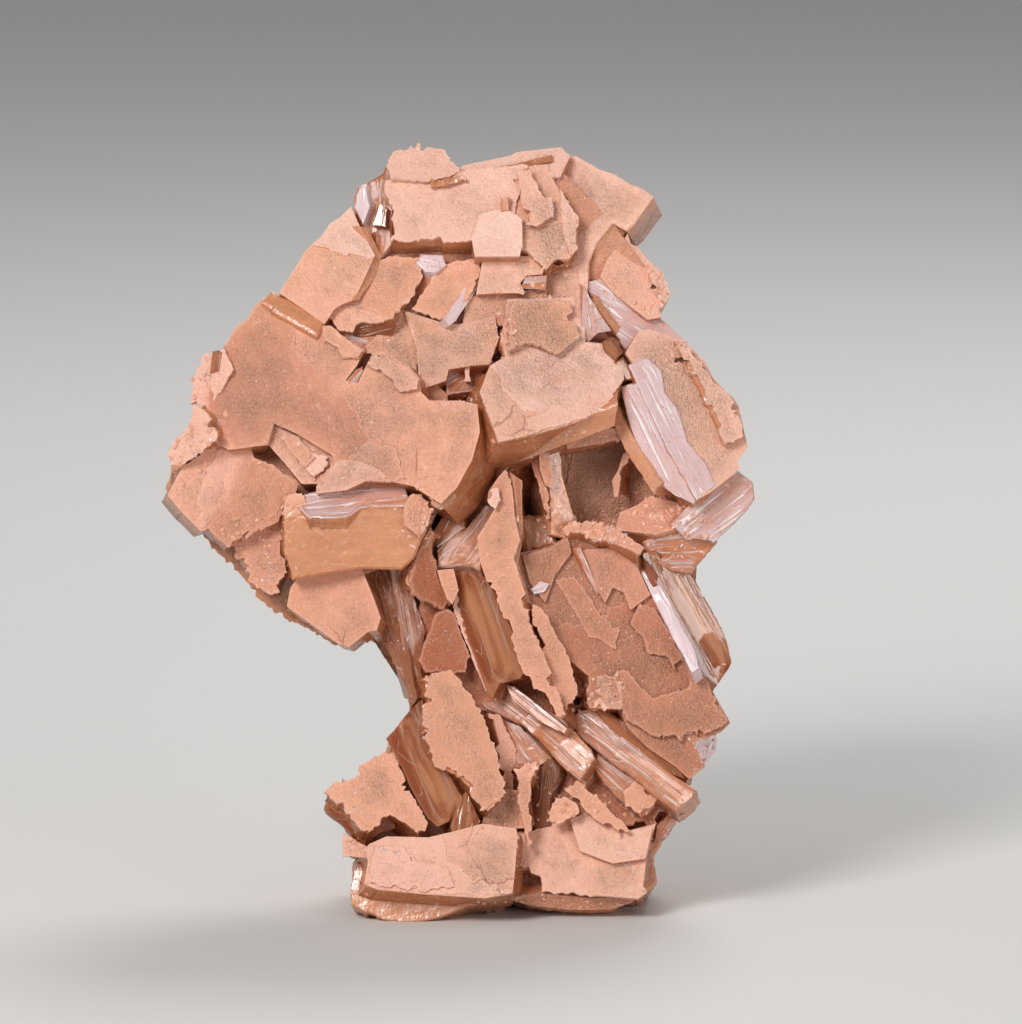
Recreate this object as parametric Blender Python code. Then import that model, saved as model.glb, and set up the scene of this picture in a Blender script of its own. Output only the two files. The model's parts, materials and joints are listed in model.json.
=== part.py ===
# Stolzite: one cluster of intergrown tabular crystals, standing on its trimmed lower crystals.
#
# Every crystal is described in the plane of the cluster's display face, in millimetres:
# across (to the right), up, and out (towards the side that is shown). The display face
# leans back a little, so that plane is turned and set on the ground at the end.

import math
import random

import bmesh
import bpy
from mathutils import Vector

MM = 0.001
LEAN_BACK = math.radians(8)     # the display face leans back by this much
GROUND = 0.56                   # height of the trimmed underside before the cluster is set down, mm
TRIM_SIZE = 120                 # the block that trims the underside, mm

# name, out at its middle, lean to the right and up in degrees, thickness, taper, outline
TOP = [
    ("top_lump", 2.4, (5, 30), 4.5, 1.0,
     [(-5.5, 59.2), (-5.9, 60.3), (-5.4, 61.2), (-4.8, 61.6), (-4.0, 62.0), (-3.4, 62.1), (-2.6, 61.8),
      (-1.1, 61.6), (-0.7, 61.0), (0.2, 60.2), (0.2, 59.6), (-2.3, 59.1)]),
    ("top_ridge_left", 1.6, (-25, 8), 5, 1.0,
     [(-8.7, 56.9), (-8.7, 57.9), (-8.3, 58.7), (-7.5, 59.0), (-7.1, 57.5), (-7.3, 55.4), (-6.9, 53.4),
      (-7.5, 53.4), (-8.2, 55.2)]),
    ("top_ridge_right", 2.2, (-16, 6), 5, 1.0,
     [(-7.4, 59.0), (-6.2, 59.7), (-5.9, 60.4), (-5.0, 60.5), (-5.3, 57.0), (-5.4, 54.0), (-6.2, 52.9),
      (-7.0, 53.4), (-7.3, 55.6)]),
    ("top_plate", 3.3, (0, 20), 4.4, 0.97,
     [(-5.8, 60.3), (-6.0, 58.5), (-5.6, 56.0), (-5.5, 54.2), (4.0, 54.2), (4.4, 57.0), (5.4, 60.4),
      (3.2, 60.2), (0.2, 59.9), (-2.5, 60.2)]),
    ("top_back_plate", 1.5, (0, 34), 4, 1.0,
     [(-0.6, 59.2), (0.2, 60.3), (4.0, 61.1), (4.6, 61.4), (6.5, 61.6), (8.1, 61.8), (8.8, 61.1),
      (8.0, 59.4)]),
    ("top_block", 4.5, (0, 15), 3.6, 0.98,
     [(0.95, 54.4), (1.2, 53.0), (4.75, 53.0), (5.0, 54.0), (4.95, 56.0), (3.6, 56.9), (1.6, 56.4)]),
    ("top_sandy_plate", 3.1, (6, 18), 3.6, 1.0,
     [(3.6, 54.0), (5.4, 53.4), (6.9, 52.0), (7.6, 52.8), (8.7, 52.8), (9.3, 53.6), (9.4, 56.1),
      (8.7, 57.1), (8.3, 58.0), (7.6, 58.9), (7.0, 60.4), (4.2, 60.3)]),
    ("right_top_plate", 1.5, (-13, 14), 5, 0.95,
     [(6.8, 61.2), (8.2, 61.7), (8.8, 61.1), (9.3, 61.1), (11.2, 60.0), (12.4, 59.6), (13.6, 58.8),
      (14.5, 58.5), (15.5, 57.8), (14.9, 57.0), (13.9, 55.6), (13.3, 55.1), (12.2, 55.7), (11.0, 54.2),
      (10.3, 52.6), (10.2, 50.5), (9.9, 46.0), (4.0, 46.0), (4.0, 54.0)]),
    ("right_shoulder", 2.0, (8, 16), 5, 1.0,
     [(11.2, 51.4), (11.8, 52.9), (13.0, 54.3), (13.4, 54.9), (13.7, 53.9), (14.1, 53.9), (15.0, 52.8),
      (16.2, 51.8), (16.2, 51.2), (16.8, 50.0), (16.5, 49.3), (15.9, 48.9), (16.1, 48.2), (15.0, 48.0),
      (12.4, 50.0)]),
    ("right_glassy_bar", 2.2, (10, 8), 4, 0.96,
     [(10.1, 51.0), (11.3, 51.3), (12.4, 50.3), (13.8, 49.2), (16.0, 48.2), (17.5, 46.9), (18.2, 46.2),
      (16.4, 46.0), (14.0, 46.2), (13.2, 45.6), (12.4, 46.9), (11.4, 48.4), (10.5, 49.6)]),
    ("gem_wedge", 3.6, (12, -12), 3, 0.95,
     [(9.9, 50.6), (10.6, 49.4), (11.2, 48.4), (12.1, 47.1), (11.0, 46.9), (10.2, 46.1), (9.7, 47.5)]),
    ("gem_white", 4.4, (8, 4), 3, 0.95,
     [(11.4, 46.2), (12.3, 46.6), (13.1, 45.4), (12.5, 44.7), (11.6, 45.4)]),
    ("gem_amber", 4.0, (18, 0), 3, 0.95,
     [(12.3, 44.6), (13.1, 45.1), (13.6, 44.3), (14.3, 43.8), (14.3, 43.1), (13.2, 43.1)]),
]

UPPER_LEFT = [
    ("fan_first_plate", 4.0, (3, 18), 3.8, 0.98,
     [(-14.4, 50.1), (-13.6, 51.4), (-12.3, 53.5), (-11.0, 54.7), (-10.4, 55.6), (-9.5, 56.2),
      (-8.7, 57.0), (-8.0, 55.4), (-6.8, 53.1), (-7.5, 51.5), (-8.2, 50.0), (-8.6, 49.5), (-9.4, 49.2),
      (-10.0, 48.8), (-10.8, 47.6), (-12.6, 48.9)]),
    ("fan_second_plate", 3.6, (0, 22), 3.8, 0.98,
     [(-7.4, 52.2), (-5.6, 53.1), (-3.2, 52.9), (-2.6, 52.0), (-3.2, 50.9), (-4.0, 49.7), (-4.7, 48.6),
      (-5.3, 48.0), (-6.5, 47.7), (-8.0, 47.7), (-8.6, 46.9), (-9.8, 47.2), (-10.6, 48.2)]),
    ("fan_third_plate", 3.3, (-8, 20), 4, 0.98,
     [(-1.8, 52.0), (-0.4, 52.7), (1.6, 52.9), (1.6, 51.4), (0.6, 49.6), (-0.6, 47.9), (-1.6, 47.9),
      (-3.0, 48.5), (-3.9, 48.8), (-2.9, 50.2)]),
    ("fan_third_edge", 3.6, (22, 14), 3, 1.0,
     [(1.9, 52.9), (1.95, 51.7), (1.5, 50.6), (0.6, 49.2), (-0.3, 47.9), (-0.8, 47.5), (-1.2, 48.0),
      (-0.3, 49.4), (0.6, 50.8), (1.3, 52.2)]),
    ("fan_gap_wall", 2.3, (-20, 0), 4, 1.0,
     [(-4.8, 48.4), (-3.4, 50.6), (-2.4, 52.2), (-1.4, 52.0), (-2.6, 50.0), (-3.8, 48.2)]),
    ("fan_sparkle", 2.9, (0, 30), 3, 0.95,
     [(-3.5, 52.6), (-2.8, 51.9), (-1.9, 51.8), (-1.1, 52.4), (-1.4, 53.2), (-3.2, 53.3)]),
]

LEFT = [
    ("main_plate", 6.6, (-4, 9), 6.6, 0.97,
     [(-17.9, 47.3), (-17.0, 48.0), (-16.3, 49.1), (-15.5, 49.8), (-14.9, 48.8), (-11.3, 46.8),
      (-10.9, 47.5), (-10.4, 47.4), (-7.6, 45.5), (-8.2, 44.3), (-9.1, 43.1), (-8.1, 42.9), (-7.6, 44.0),
      (-6.9, 45.3), (-6.1, 45.4), (-4.0, 44.2), (-3.2, 43.3), (-3.1, 42.2), (-2.4, 41.5), (0.0, 41.5),
      (1.4, 41.2), (1.6, 39.0), (1.0, 36.8), (-0.2, 34.6), (-1.5, 33.3), (-3.7, 34.7), (-5.6, 35.1),
      (-7.5, 35.2), (-9.0, 34.6), (-11.2, 35.2), (-9.9, 36.7), (-10.2, 37.2), (-13.0, 38.9),
      (-14.8, 39.7), (-15.3, 38.0), (-18.3, 37.6), (-19.3, 38.0), (-20.2, 40.0), (-20.1, 42.5),
      (-19.6, 43.6), (-18.8, 44.8), (-18.8, 45.8)]),
    ("main_plate_recess", 6.2, (-4, 9), 3, 1.0,
     [(-15.6, 38.4), (-14.9, 39.9), (-12.9, 39.1), (-10.0, 37.4), (-9.7, 36.8), (-11.0, 34.9),
      (-12.6, 34.9), (-14.0, 36.6)]),
    ("main_plate_bevel", 6.4, (26, 4), 5, 1.0,
     [(-0.4, 41.3), (1.7, 41.0), (2.0, 40.3), (2.1, 39.0), (1.9, 38.0), (1.3, 36.4), (0.6, 35.0),
      (-0.8, 33.2), (-1.5, 32.8), (-2.2, 33.3), (-1.0, 35.4), (-0.2, 38.5)]),
    ("main_plate_layer", 7.75, (-4, 9), 1.6, 1.0,
     [(-11.4, 34.7), (-9.6, 36.8), (-8.0, 36.7), (-6.4, 36.0), (-5.8, 35.4), (-7.5, 35.1), (-9.0, 34.4),
      (-11.4, 34.1)]),
    ("rim_lump_low", 7.4, (-20, -4), 5, 0.97,
     [(-23.3, 37.4), (-23.1, 36.2), (-22.2, 36.2), (-20.4, 37.3), (-19.3, 38.2), (-19.2, 38.8),
      (-20.0, 40.4), (-21.2, 41.2), (-21.3, 40.1), (-22.0, 39.0), (-22.8, 38.3)]),
    ("rim_lump_high", 5.6, (-20, 5), 5, 0.97,
     [(-21.5, 41.2), (-21.3, 42.6), (-20.9, 44.3), (-20.4, 45.2), (-19.8, 45.5), (-19.3, 45.3),
      (-18.8, 45.9), (-18.0, 44.0), (-19.6, 41.0), (-20.8, 40.6)]),
    ("main_slot_rod", 6.3, (10, 10), 3, 1.0,
     [(-9.1, 43.1), (-8.3, 44.1), (-7.7, 44.3), (-7.6, 43.8), (-8.1, 42.9), (-8.8, 42.8)]),
    ("left_smooth_plate", 6.0, (9, 8), 4.5, 0.97,
     [(-23.3, 34.0), (-22.1, 36.2), (-20.5, 37.3), (-19.2, 38.4), (-16.8, 38.2), (-16.3, 36.6),
      (-17.5, 34.5), (-19.0, 31.6), (-20.6, 31.1), (-22.0, 32.5)]),
    ("left_side_block", 2.4, (-24, 0), 5, 1.0,
     [(-23.6, 34.5), (-23.2, 36.2), (-20.5, 38.0), (-19.0, 36.0), (-19.6, 32.0), (-20.6, 31.1),
      (-23.0, 33.5)]),
    ("left_sandy_plate", 6.5, (7, 6), 5, 0.98,
     [(-16.5, 37.1), (-15.1, 36.5), (-12.7, 34.9), (-13.0, 34.1), (-13.7, 33.5), (-14.3, 32.2),
      (-15.2, 31.5), (-16.1, 31.3), (-17.0, 30.2), (-18.4, 29.8), (-20.2, 31.3), (-18.7, 33.2),
      (-17.5, 35.2)]),
    ("left_lower_plate", 5.3, (2, 2), 4.5, 0.98,
     [(-16.8, 31.4), (-14.1, 32.0), (-13.7, 30.8), (-13.6, 27.8), (-14.3, 26.2), (-15.2, 26.1),
      (-16.3, 26.8), (-17.3, 27.8), (-17.9, 28.8), (-18.3, 30.0)]),
    ("left_rim_layer", 1.9, (-4, -8), 5, 0.96,
     [(-20.6, 31.1), (-20.5, 30.6), (-19.0, 29.1), (-18.2, 27.9), (-16.8, 26.4), (-14.5, 24.5),
      (-12.0, 23.2), (-10.0, 21.8), (-9.4, 21.6), (-8.0, 22.3), (-6.6, 23.0), (-8.0, 28.0),
      (-14.0, 32.0), (-18.5, 33.0)]),
    ("left_tip_plate", 5.0, (-4, 6), 5, 0.98,
     [(-13.5, 26.6), (-13.0, 27.3), (-9.0, 28.3), (-7.9, 28.3), (-6.9, 25.9), (-6.3, 24.2),
      (-6.6, 23.2), (-7.3, 23.1), (-8.8, 21.9), (-9.6, 22.1), (-11.4, 23.4), (-13.8, 25.1)]),
    ("honey_block", 7.0, (3, -10), 6, 0.98,
     [(-14.0, 32.2), (-12.9, 33.0), (-11.9, 32.2), (-9.0, 32.3), (-8.1, 33.1), (-4.1, 33.4),
      (-2.6, 32.2), (-2.6, 31.2), (-3.7, 28.8), (-4.6, 28.0), (-8.0, 28.1), (-13.3, 27.2),
      (-13.9, 29.0)]),
    ("honey_block_top", 7.1, (0, 42), 3, 1.0,
     [(-12.7, 33.0), (-12.4, 34.2), (-11.0, 34.5), (-9.2, 34.6), (-7.4, 35.1), (-5.6, 35.0),
      (-4.3, 34.6), (-4.0, 33.7), (-4.2, 33.2), (-7.8, 33.1), (-9.0, 32.3), (-11.9, 32.2)]),
    ("honey_block_end", 7.2, (24, 4), 4.5, 0.98,
     [(-4.3, 33.3), (-3.9, 34.0), (-3.0, 34.1), (-2.0, 32.8), (-2.4, 31.6), (-3.2, 30.6), (-4.4, 31.6)]),
    ("honey_block_knob", 7.3, (-8, 14), 4, 0.98,
     [(-13.7, 34.0), (-12.6, 34.1), (-11.8, 32.5), (-12.2, 31.9), (-13.6, 31.9), (-14.2, 32.5)]),
]

MIDDLE = [
    ("centre_recess_left", 3.6, (6, 12), 4, 1.0,
     [(-7.6, 46.0), (-6.7, 46.8), (-5.1, 47.9), (-4.7, 48.8), (-3.4, 48.4), (-3.0, 45.6), (-3.6, 43.8),
      (-6.2, 44.6), (-7.6, 45.2)]),
    ("centre_recess_right", 4.0, (-4, 12), 5, 1.0,
     [(-4.5, 48.7), (-1.3, 47.7), (0.1, 47.6), (2.8, 48.3), (3.1, 46.4), (2.8, 45.6), (2.4, 44.4),
      (0.9, 44.3), (-0.9, 44.0), (-1.1, 43.1), (-2.9, 42.5), (-3.3, 43.2), (-3.4, 45.6)]),
    ("centre_steps", 3.0, (10, 20), 4, 1.0,
     [(-1.2, 44.4), (1.9, 44.8), (2.0, 43.2), (1.4, 42.4), (0.0, 42.2), (-1.0, 42.0)]),
    ("centre_upper_step", 3.2, (0, 14), 3.5, 1.0,
     [(0.2, 47.5), (2.6, 48.0), (3.6, 47.0), (6.5, 47.0), (7.0, 50.4), (1.6, 50.3), (0.5, 49.4)]),
    ("centre_top_step", 3.7, (0, 12), 3.5, 1.0,
     [(1.9, 53.2), (6.9, 53.0), (6.6, 51.6), (5.3, 51.5), (4.8, 50.9), (5.2, 50.1), (3.0, 50.1),
      (1.3, 50.0)]),
    ("centre_block", 5.3, (11, 20), 6, 0.98,
     [(1.6, 42.2), (2.4, 44.3), (3.6, 45.0), (3.3, 46.4), (3.8, 49.6), (10.0, 49.8), (10.0, 46.2),
      (11.3, 46.1), (12.0, 45.0), (13.0, 44.2), (13.1, 43.2), (12.2, 42.0), (12.5, 41.1), (9.8, 40.0),
      (6.3, 38.9), (3.1, 38.2)]),
    ("centre_block_crust", 2.9, (8, 10), 3, 1.0,
     [(8.2, 38.8), (10.6, 39.4), (12.4, 39.3), (13.0, 38.5), (10.6, 38.0), (8.6, 37.7)]),
    ("recess_wall", 2.2, (-30, 0), 6, 1.0,
     [(3.2, 38.6), (1.7, 38.8), (0.6, 35.6), (-0.6, 33.2), (0.3, 31.4), (2.4, 32.4), (3.4, 35.3),
      (4.4, 37.4)]),
    ("lilac_prism_left", 3.0, (-26, 0), 5, 0.98,
     [(-7.7, 28.2), (-5.4, 28.2), (-5.0, 25.0), (-3.9, 21.0), (-3.4, 17.8), (-4.0, 16.8), (-4.3, 18.4),
      (-5.0, 20.0), (-6.3, 22.2), (-6.7, 24.0), (-6.6, 25.4), (-7.5, 27.2)]),
    ("lilac_prism_right", 3.4, (12, 0), 5, 0.98,
     [(-5.6, 28.3), (-4.4, 28.3), (-3.3, 24.8), (-2.7, 23.2), (-3.2, 21.0), (-2.9, 19.2), (-3.4, 17.6),
      (-4.3, 20.5), (-5.0, 24.0)]),
    ("kite_blade", 5.0, (24, -12), 4, 0.98,
     [(-2.4, 31.2), (-1.9, 30.9), (-2.1, 29.6), (-1.7, 28.2), (-1.2, 26.4), (-0.9, 25.4), (-1.2, 24.8),
      (-2.0, 24.9), (-3.0, 25.4), (-3.9, 26.1), (-4.2, 27.0), (-4.0, 27.9), (-3.1, 30.0)]),
    ("kite_inner_blade", 4.9, (10, 10), 3, 0.98,
     [(-1.8, 28.0), (-0.5, 28.1), (-0.1, 26.4), (-0.6, 25.3), (-1.0, 25.7), (-1.5, 27.0)]),
    ("mauve_plate", 3.9, (10, 5), 4.5, 0.98,
     [(-1.2, 25.0), (-2.0, 24.5), (-2.6, 22.9), (-3.3, 20.8), (-2.7, 19.8), (-0.9, 19.6), (0.6, 19.6),
      (1.0, 21.1), (0.2, 22.8), (-0.4, 24.6)]),
    ("amber_crystal", 4.4, (-24, -4), 5.5, 0.98,
     [(-0.4, 29.0), (0.9, 28.4), (2.0, 27.4), (3.2, 25.6), (4.2, 23.0), (5.2, 20.1), (4.8, 19.3),
      (3.1, 18.9), (2.6, 17.7), (2.1, 18.2), (0.9, 21.5), (-0.1, 23.9), (-0.9, 26.0)]),
    ("amber_crystal_head", 4.1, (-14, 22), 4.5, 0.98,
     [(-2.0, 29.6), (-0.8, 30.8), (0.4, 31.4), (2.0, 33.4), (2.8, 33.0), (2.2, 30.4), (1.6, 28.0),
      (0.3, 28.4), (-1.9, 28.2)]),
    ("lilac_blade", 3.5, (-20, 18), 4, 0.98,
     [(-2.3, 31.0), (-1.4, 32.4), (-0.5, 33.4), (0.2, 33.4), (0.4, 31.4), (-1.0, 30.4), (-1.9, 29.8)]),
    ("tall_blade", 5.7, (-11, 2), 5.5, 0.97,
     [(3.6, 36.0), (3.0, 35.3), (2.3, 34.3), (2.2, 33.5), (2.8, 32.9), (1.4, 30.6), (1.6, 28.8),
      (2.3, 26.6), (3.4, 24.6), (4.9, 20.2), (5.9, 18.5), (6.8, 18.2), (7.6, 16.3), (8.4, 16.4),
      (8.0, 18.0), (7.0, 20.6), (5.6, 24.2), (5.7, 24.9), (4.3, 29.0), (4.8, 30.4), (4.4, 32.2),
      (4.2, 34.6)]),
    ("tall_blade_twin", 5.2, (8, 0), 5.5, 0.97,
     [(5.8, 25.3), (6.3, 25.1), (6.9, 24.5), (7.6, 23.0), (8.4, 21.8), (8.9, 20.3), (9.4, 18.3),
      (9.0, 17.4), (8.4, 16.3), (7.9, 16.2), (6.9, 20.4), (5.8, 24.0)]),
    ("slot_blade_left", 2.8, (-15, 0), 5, 1.0,
     [(5.5, 37.2), (6.4, 37.3), (6.7, 35.6), (7.3, 33.0), (7.3, 32.0), (6.9, 32.0), (6.3, 34.2)]),
    ("slot_blade_right", 3.6, (10, 0), 4, 1.0,
     [(6.3, 37.3), (7.1, 37.4), (7.5, 35.2), (7.3, 34.5), (6.8, 34.8), (6.4, 36.0)]),
    ("slot_amber_wall", 2.4, (16, 0), 5, 1.0,
     [(6.9, 37.6), (8.1, 37.8), (8.2, 35.6), (9.4, 31.6), (8.6, 30.4), (7.2, 30.8), (7.1, 33.4)]),
    ("slot_ledge", 1.5, (0, 12), 5, 1.0,
     [(4.6, 32.3), (6.4, 32.4), (7.3, 32.2), (7.8, 29.8), (5.0, 29.2)]),
]

RIGHT = [
    ("right_plate", 3.7, (13, 11), 6, 0.97,
     [(14.3, 47.1), (15.2, 47.2), (17.0, 46.6), (18.0, 46.2), (19.5, 44.7), (20.3, 43.2), (21.2, 42.3),
      (21.9, 41.7), (22.3, 41.0), (22.8, 38.6), (23.0, 37.8), (22.2, 36.8), (22.3, 36.2), (22.0, 35.8),
      (20.0, 34.2), (18.9, 33.6), (16.8, 37.2), (15.2, 40.6), (14.3, 43.2), (14.0, 44.2), (13.2, 45.3)]),
    ("right_plate_bevel", 4.2, (-18, -6), 5, 0.97,
     [(12.8, 42.6), (14.5, 43.2), (15.3, 40.7), (16.9, 37.3), (19.3, 34.1), (18.6, 33.1), (17.0, 34.0),
      (15.6, 35.0), (14.4, 37.0), (13.3, 40.2)]),
    ("right_lilac_break", 2.6, (10, -8), 7, 0.96,
     [(22.1, 36.0), (22.9, 35.4), (23.4, 35.0), (23.5, 34.2), (23.6, 33.7), (22.7, 32.4), (21.3, 31.1),
      (20.2, 30.1), (18.0, 30.4), (16.8, 31.6), (18.2, 33.0), (19.5, 34.2), (20.9, 35.4)]),
    ("right_amber_break", 1.9, (8, 2), 6, 0.96,
     [(14.6, 30.2), (15.8, 31.4), (18.0, 31.4), (20.6, 31.0), (20.6, 30.2), (19.6, 29.0), (18.5, 27.6),
      (17.0, 27.8), (15.0, 29.2)]),
    ("right_ledge", 2.0, (0, 28), 5, 1.0,
     [(12.8, 32.6), (14.2, 33.2), (15.2, 33.9), (17.3, 33.4), (19.2, 33.4), (18.4, 31.6), (15.6, 30.8),
      (12.4, 31.2)]),
    ("hollow_wall", -2.2, (4, -6), 5, 1.0,
     [(6.6, 38.4), (13.2, 39.4), (15.6, 35.2), (15.4, 32.6), (13.0, 31.0), (8.0, 31.4)]),
    ("hollow_blade", 0.4, (-20, 0), 5, 1.0,
     [(13.7, 37.6), (13.5, 36.6), (12.9, 35.9), (12.8, 35.0), (12.7, 33.8), (12.3, 33.8), (12.2, 35.2),
      (12.6, 36.0), (13.0, 37.3)]),
    ("sandy_slope", 2.7, (10, 8), 6.5, 0.97,
     [(5.0, 29.3), (7.0, 29.8), (8.7, 30.8), (10.0, 30.8), (12.0, 30.2), (13.4, 29.8), (14.3, 29.0),
      (16.3, 24.6), (18.4, 20.6), (18.8, 19.7), (19.6, 19.5), (20.2, 18.3), (21.6, 15.8), (20.9, 15.1),
      (18.7, 14.2), (19.6, 12.3), (18.3, 11.3), (17.2, 12.3), (15.0, 13.8), (13.4, 15.4), (12.8, 16.9),
      (10.3, 17.0), (10.6, 19.5), (9.6, 21.0), (8.3, 22.2), (6.6, 25.1), (5.2, 28.4)]),
    ("sandy_slope_crest", 3.8, (0, 24), 4, 1.0,
     [(8.1, 31.3), (8.7, 31.8), (10.0, 32.0), (10.9, 32.0), (12.0, 31.5), (13.6, 30.6), (14.7, 29.8),
      (14.2, 29.0), (12.0, 30.1), (10.0, 30.7), (8.6, 30.7)]),
    ("sandy_slope_knob", 3.7, (-8, 5), 5, 0.98,
     [(10.3, 17.0), (10.1, 18.4), (10.5, 19.4), (11.6, 19.7), (12.8, 19.0), (13.0, 17.8), (12.9, 16.9)]),
    ("lilac_strip", 3.2, (-8, 20), 3, 1.0,
     [(14.3, 28.9), (14.8, 29.1), (16.6, 25.6), (18.7, 21.6), (19.1, 20.3), (18.5, 19.8), (16.3, 24.0),
      (14.3, 28.1)]),
    ("right_glassy_plate", 1.4, (18, 0), 6, 0.96,
     [(14.5, 29.4), (15.8, 29.6), (18.0, 27.9), (18.7, 27.5), (19.9, 25.3), (21.0, 23.4), (21.4, 22.3),
      (21.8, 20.6), (21.5, 20.0), (20.3, 18.3), (18.6, 20.4), (16.0, 25.0)]),
    ("right_low_tips", 0.6, (20, -5), 5, 0.96,
     [(17.8, 14.6), (19.2, 15.4), (20.6, 14.9), (20.6, 13.6), (19.7, 12.3), (18.2, 11.9)]),
]

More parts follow.
